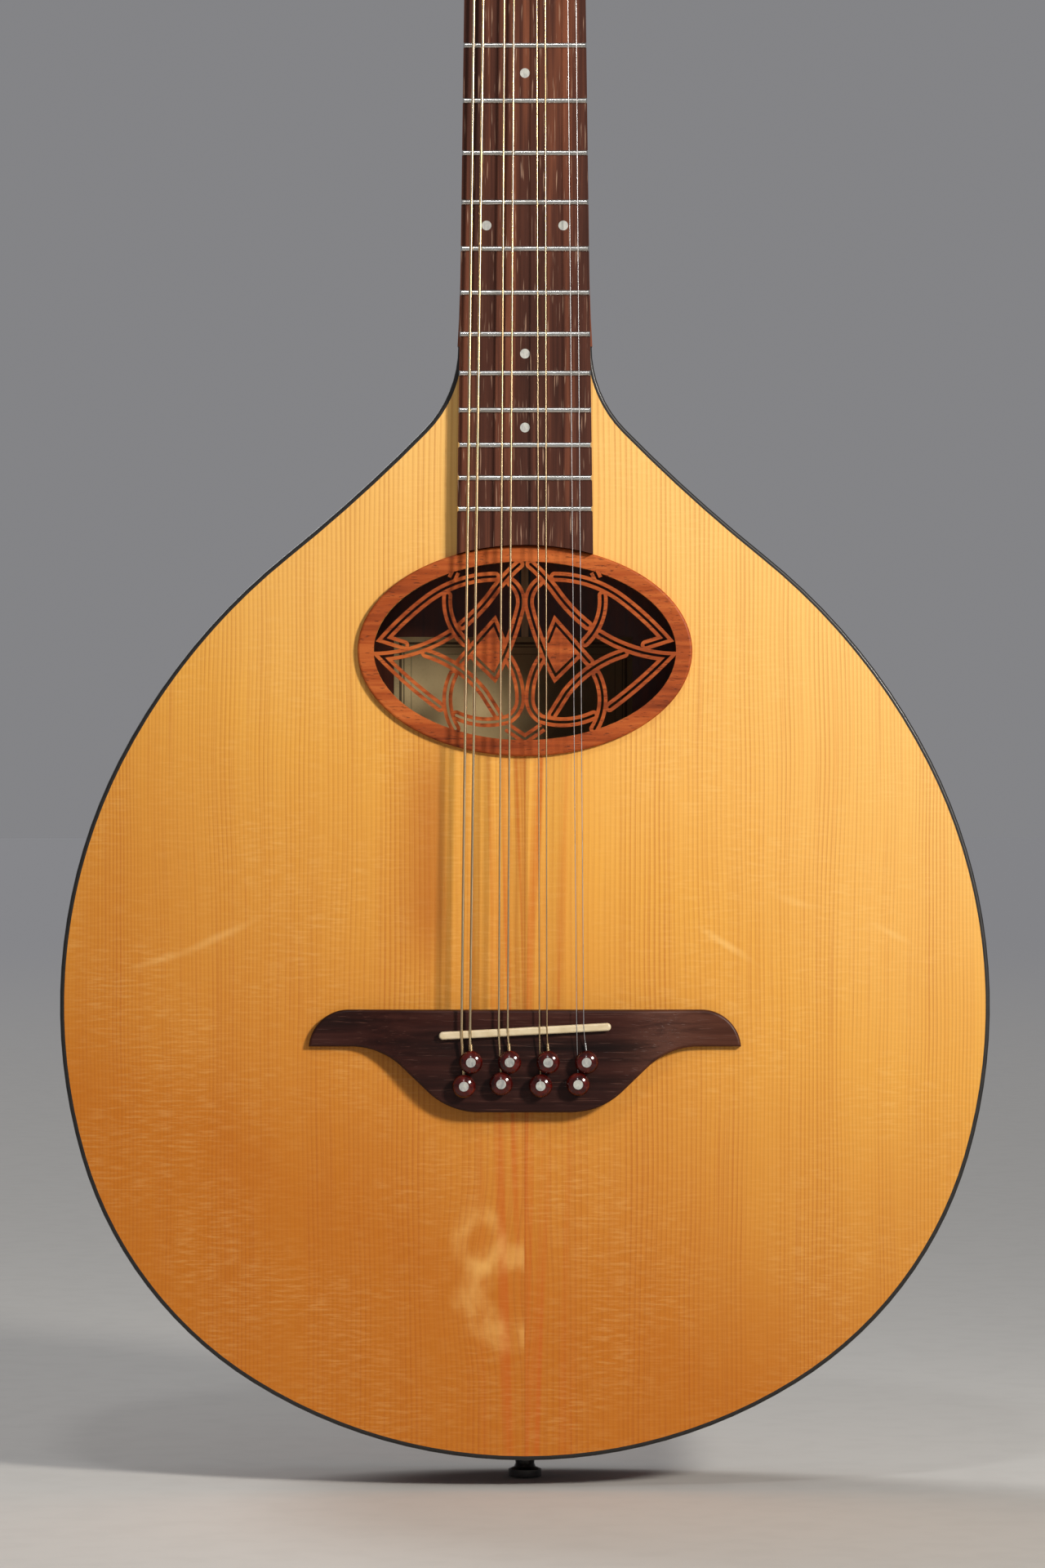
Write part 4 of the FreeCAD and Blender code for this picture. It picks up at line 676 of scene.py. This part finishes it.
# ---------------------------------------------------------------- string windings and ball-end twists
# All in millimetres, as the tuning machines and pins stand in the frame.
HEAD_TILT = math.radians(14.0)
NUT_TOP = 5.0
POST_FIRST = (45.0, 24.5)     # along the head and across it, for the post nearest the nut
POST_STEP = (27.0, -2.0)
POST_WAIST = 2.5
WIND_GAP = 0.12
WIND_START = -8.6             # depths in front of the head's wood
EYE_DEPTH = -13.0
STUB = 2.4                    # of wire past the eye
TURN_PITCH = 2.08             # of the turns, in wire radii
MOST_TURNS = 8.0
TURN_STEPS = 28
EYE_BEND = 0.45               # radians of the last turn that bend in towards the eye
EYE_STEPS = 6
EYE_REACH = 1.0               # how far inside its coil the wire enters the post
LOCK_RADIUS = 0.19
LOCK_TURNS = 9
LOCK_STEPS = 20
LOCK_START = 1.6              # along the string from its pin
LOCK_LENGTH = 4.0
LOCK_GAP = 0.1                # between the string and the bridge
LOCK_SEAT = 0.85              # the lock wire sinks a little into the string
BRIDGE_FACE = -8.5
SADDLE_CROWN = -11.6
SADDLE_LINE = -648.0
STRING_RADII = (0.585, 0.585, 0.430, 0.430, 0.280, 0.280, 0.150, 0.150)
# Strings of the upper pin row: number, across and along at the hole, across and along at the saddle.
TWISTED = (
    (2, -22.3, -658.85, -22.7, -649.23),
    (4, -6.3, -658.58, -7.1, -648.38),
    (6, 9.6, -658.53, 9.1, -647.51),
    (8, 25.5, -658.40, 24.3, -646.68),
)


def link(name, data):
    """A new object in the scene."""
    made = bpy.data.objects.new(name, data)
    bpy.context.scene.collection.objects.link(made)
    return made


def on_head(x, depth, along):
    """A point given across the head, behind its front and along it."""
    y = along * math.sin(HEAD_TILT) + depth * math.cos(HEAD_TILT)
    z = NUT_TOP + along * math.cos(HEAD_TILT) - depth * math.sin(HEAD_TILT)
    return Vector((x, y, z))


def wire(name, points, radius, finish, body, sides=8):
    """A round wire through points in millimetres, which rides on a body."""
    corners = []
    faces = []
    across = None
    for index, point in enumerate(points):
        ahead = (points[min(index + 1, len(points) - 1)] - points[max(index - 1, 0)]).normalized()
        across = ahead.orthogonal() if across is None else across
        across = (across - ahead * across.dot(ahead)).normalized()
        beside = ahead.cross(across)
        for side in range(sides):
            turn = 2 * math.pi * side / sides
            corners.append((point + (across * math.cos(turn) + beside * math.sin(turn)) * radius) * 0.001)
    for first in range(0, (len(points) - 1) * sides, sides):
        for side in range(sides):
            other = (side + 1) % sides
            faces.append((first + side, first + other, first + sides + other, first + sides + side))
    faces.append(tuple(reversed(range(sides))))
    faces.append(tuple(range(len(corners) - sides, len(corners))))
    mesh = bpy.data.meshes.new(name)
    mesh.from_pydata(corners, [], faces)
    for polygon in mesh.polygons:
        polygon.use_smooth = len(polygon.vertices) == 4
    mesh.materials.append(finish.material)
    piece = link(name, mesh)
    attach(piece, body)


def winding(number, finish, slot):
    """The turns of a string on its post, then its way through the eye to a cut end."""
    radius = STRING_RADII[number - 1]
    side = -1 if number <= 4 else 1
    step = number - 1 if number <= 4 else 8 - number
    along = POST_FIRST[0] + POST_STEP[0] * step
    middle = side * (POST_FIRST[1] + POST_STEP[1] * step)
    reach = POST_WAIST + radius + WIND_GAP
    turns = math.floor(2 * min((WIND_START - EYE_DEPTH) / (TURN_PITCH * radius), MOST_TURNS)) / 2
    whole = 2 * math.pi * turns

    def coil(angle):
        depth = WIND_START + (EYE_DEPTH - WIND_START) * angle / whole
        return on_head(middle - side * reach * math.cos(angle), depth, along + reach * math.sin(angle))

    steps = int(turns * TURN_STEPS)
    points = [coil((whole - EYE_BEND) * index / steps) for index in range(steps + 1)]
    entry = -side * math.cos(whole)
    start = points[-1]
    corner = coil(whole)
    inside = on_head(middle + entry * (reach - EYE_REACH), EYE_DEPTH, along)
    for index in range(1, EYE_STEPS + 1):
        share = index / EYE_STEPS
        points.append(start * (1 - share) ** 2 + corner * 2 * share * (1 - share) + inside * share ** 2)
    points.append(on_head(middle - entry * (POST_WAIST + STUB), EYE_DEPTH, along))
    wire(f"winding_{number}", points, radius, finish, f"tuner_post_{number}_body")


def twist(number, hole_x, hole_z, saddle_x, saddle_z, finish, slot):
    """The twisted lock wire on a string just above its pin."""
    radius = STRING_RADII[number - 1]
    start = Vector((hole_x, BRIDGE_FACE - radius - LOCK_GAP, hole_z))
    ahead = (Vector((saddle_x, SADDLE_CROWN, saddle_z)) - start).normalized()
    across = Vector((1, 0, 0))
    across = (across - ahead * across.dot(ahead)).normalized()
    beside = ahead.cross(across)
    reach = radius + LOCK_RADIUS * LOCK_SEAT
    points = []
    for index in range(LOCK_TURNS * LOCK_STEPS + 1):
        share = index / (LOCK_TURNS * LOCK_STEPS)
        angle = 2 * math.pi * LOCK_TURNS * share
        around = across * math.cos(angle) + beside * math.sin(angle)
        points.append(start + ahead * (LOCK_START + LOCK_LENGTH * share) + around * reach)
    wire(f"twist_{number}", points, LOCK_RADIUS, finish, "instrument", sides=6)


def add_wires(plain_steel):
    """The windings and twists, in bronze or in plain steel as their strings are."""
    coiled_bronze = metal("coiled_bronze", BRONZE_BRIGHT, BRONZE_DULL, 0.28, (900, 900, 900))

    def kind(number):
        if number <= LAST_BRONZE:
            return coiled_bronze, "bronze_string"
        return plain_steel, "plain_steel_string"

    for number in STRING_NUMBERS:
        winding(number, *kind(number))
    for number, *places in TWISTED:
        twist(number, *places, *kind(number))


# ---------------------------------------------------------------- camera, floor and light
VIEW_MIDDLE = Vector((-0.001, 0.0, BODY_LOW.z + 0.2809))
VIEW_HEIGHT = 0.651
VIEW_DISTANCE = 2.5
SENSOR = 36.0
FLOOR_HALF = 30.0
FLOOR_GAP = 0.0005
WORLD_COLOUR = (0.23, 0.23, 0.24, 1.0)
LIGHT_SPREAD = 75.0           # degrees, so that the lamps light the object more than the floor under them
SUN_TOWARDS = (-0.5, 0.7, 0.6)
SUN_POWER = 1.3
SUN_SPREAD = 25.0
# Lamps: name, place, size, power and colour.
LAMPS = (
    ("key", (1.0, -1.2, 0.05), 0.24, 5.0, (1.0, 0.95, 0.87)),
    ("top", (-0.1, -1.1, 0.75), 0.16, 0.68, (1.0, 1.0, 1.0)),
)


def make_camera():
    """Level with the middle of the photographed part, straight in front."""
    data = bpy.data.cameras.new("camera")
    data.sensor_width = SENSOR
    data.lens = SENSOR * VIEW_DISTANCE / VIEW_HEIGHT
    data.clip_end = 100.0
    camera = link("camera", data)
    camera.location = VIEW_MIDDLE - Vector((0, VIEW_DISTANCE, 0))
    camera.rotation_euler = (math.radians(90), 0, 0)
    bpy.context.scene.camera = camera


def make_floor():
    """A plain pale floor below the tail, darker far away so that no horizon shows."""
    level = CAD_BOX[0][2] - FLOOR_GAP
    mesh = bpy.data.meshes.new("floor")
    corners = [(x * FLOOR_HALF, y * FLOOR_HALF, level) for x, y in ((-1, -1), (1, -1), (1, 1), (-1, 1))]
    mesh.from_pydata(corners, [], [(0, 1, 2, 3)])
    floor = link("floor", mesh)
    paint = Finish("floor_paint", Specular_IOR_Level=0.2)
    speckle = paint.noise(paint.place, scale=60, detail=3)
    near_paint = paint.mix(paint.span(speckle, 0.4, 0.7, 0.0, 0.4), FLOOR_PAINT, FLOOR_SPECKLE)
    x, y, _ = paint.parts()
    paint.colour(paint.mix(paint.span(paint.length(x, y), 1.5, 9.0), near_paint, FLOOR_FAR))
    paint.roughness(0.8)
    mesh.materials.append(paint.material)


def make_lights():
    """A grey surround, two lamps in front and a wide sun behind."""
    world = bpy.data.worlds.new("studio")
    world.use_nodes = True
    background = world.node_tree.nodes["Background"]
    background.inputs["Color"].default_value = WORLD_COLOUR
    background.inputs["Strength"].default_value = 1.0
    bpy.context.scene.world = world

    middle = Vector((0.0, 0.0, VIEW_MIDDLE.z))
    for name, place, size, power, colour in LAMPS:
        data = bpy.data.lights.new(name, "AREA")
        data.size = size
        data.energy = power
        data.color = colour
        data.spread = math.radians(LIGHT_SPREAD)
        lamp = link(name, data)
        lamp.location = place
        lamp.rotation_euler = (middle - Vector(place)).to_track_quat("-Z", "Y").to_euler()

    data = bpy.data.lights.new("back", "SUN")
    data.energy = SUN_POWER
    data.angle = math.radians(SUN_SPREAD)
    link("back", data).rotation_euler = Vector(SUN_TOWARDS).to_track_quat("Z", "Y").to_euler()


add_wires(finish_nodes())
make_camera()
make_floor()
make_lights()
bpy.context.scene.view_settings.view_transform = "Standard"
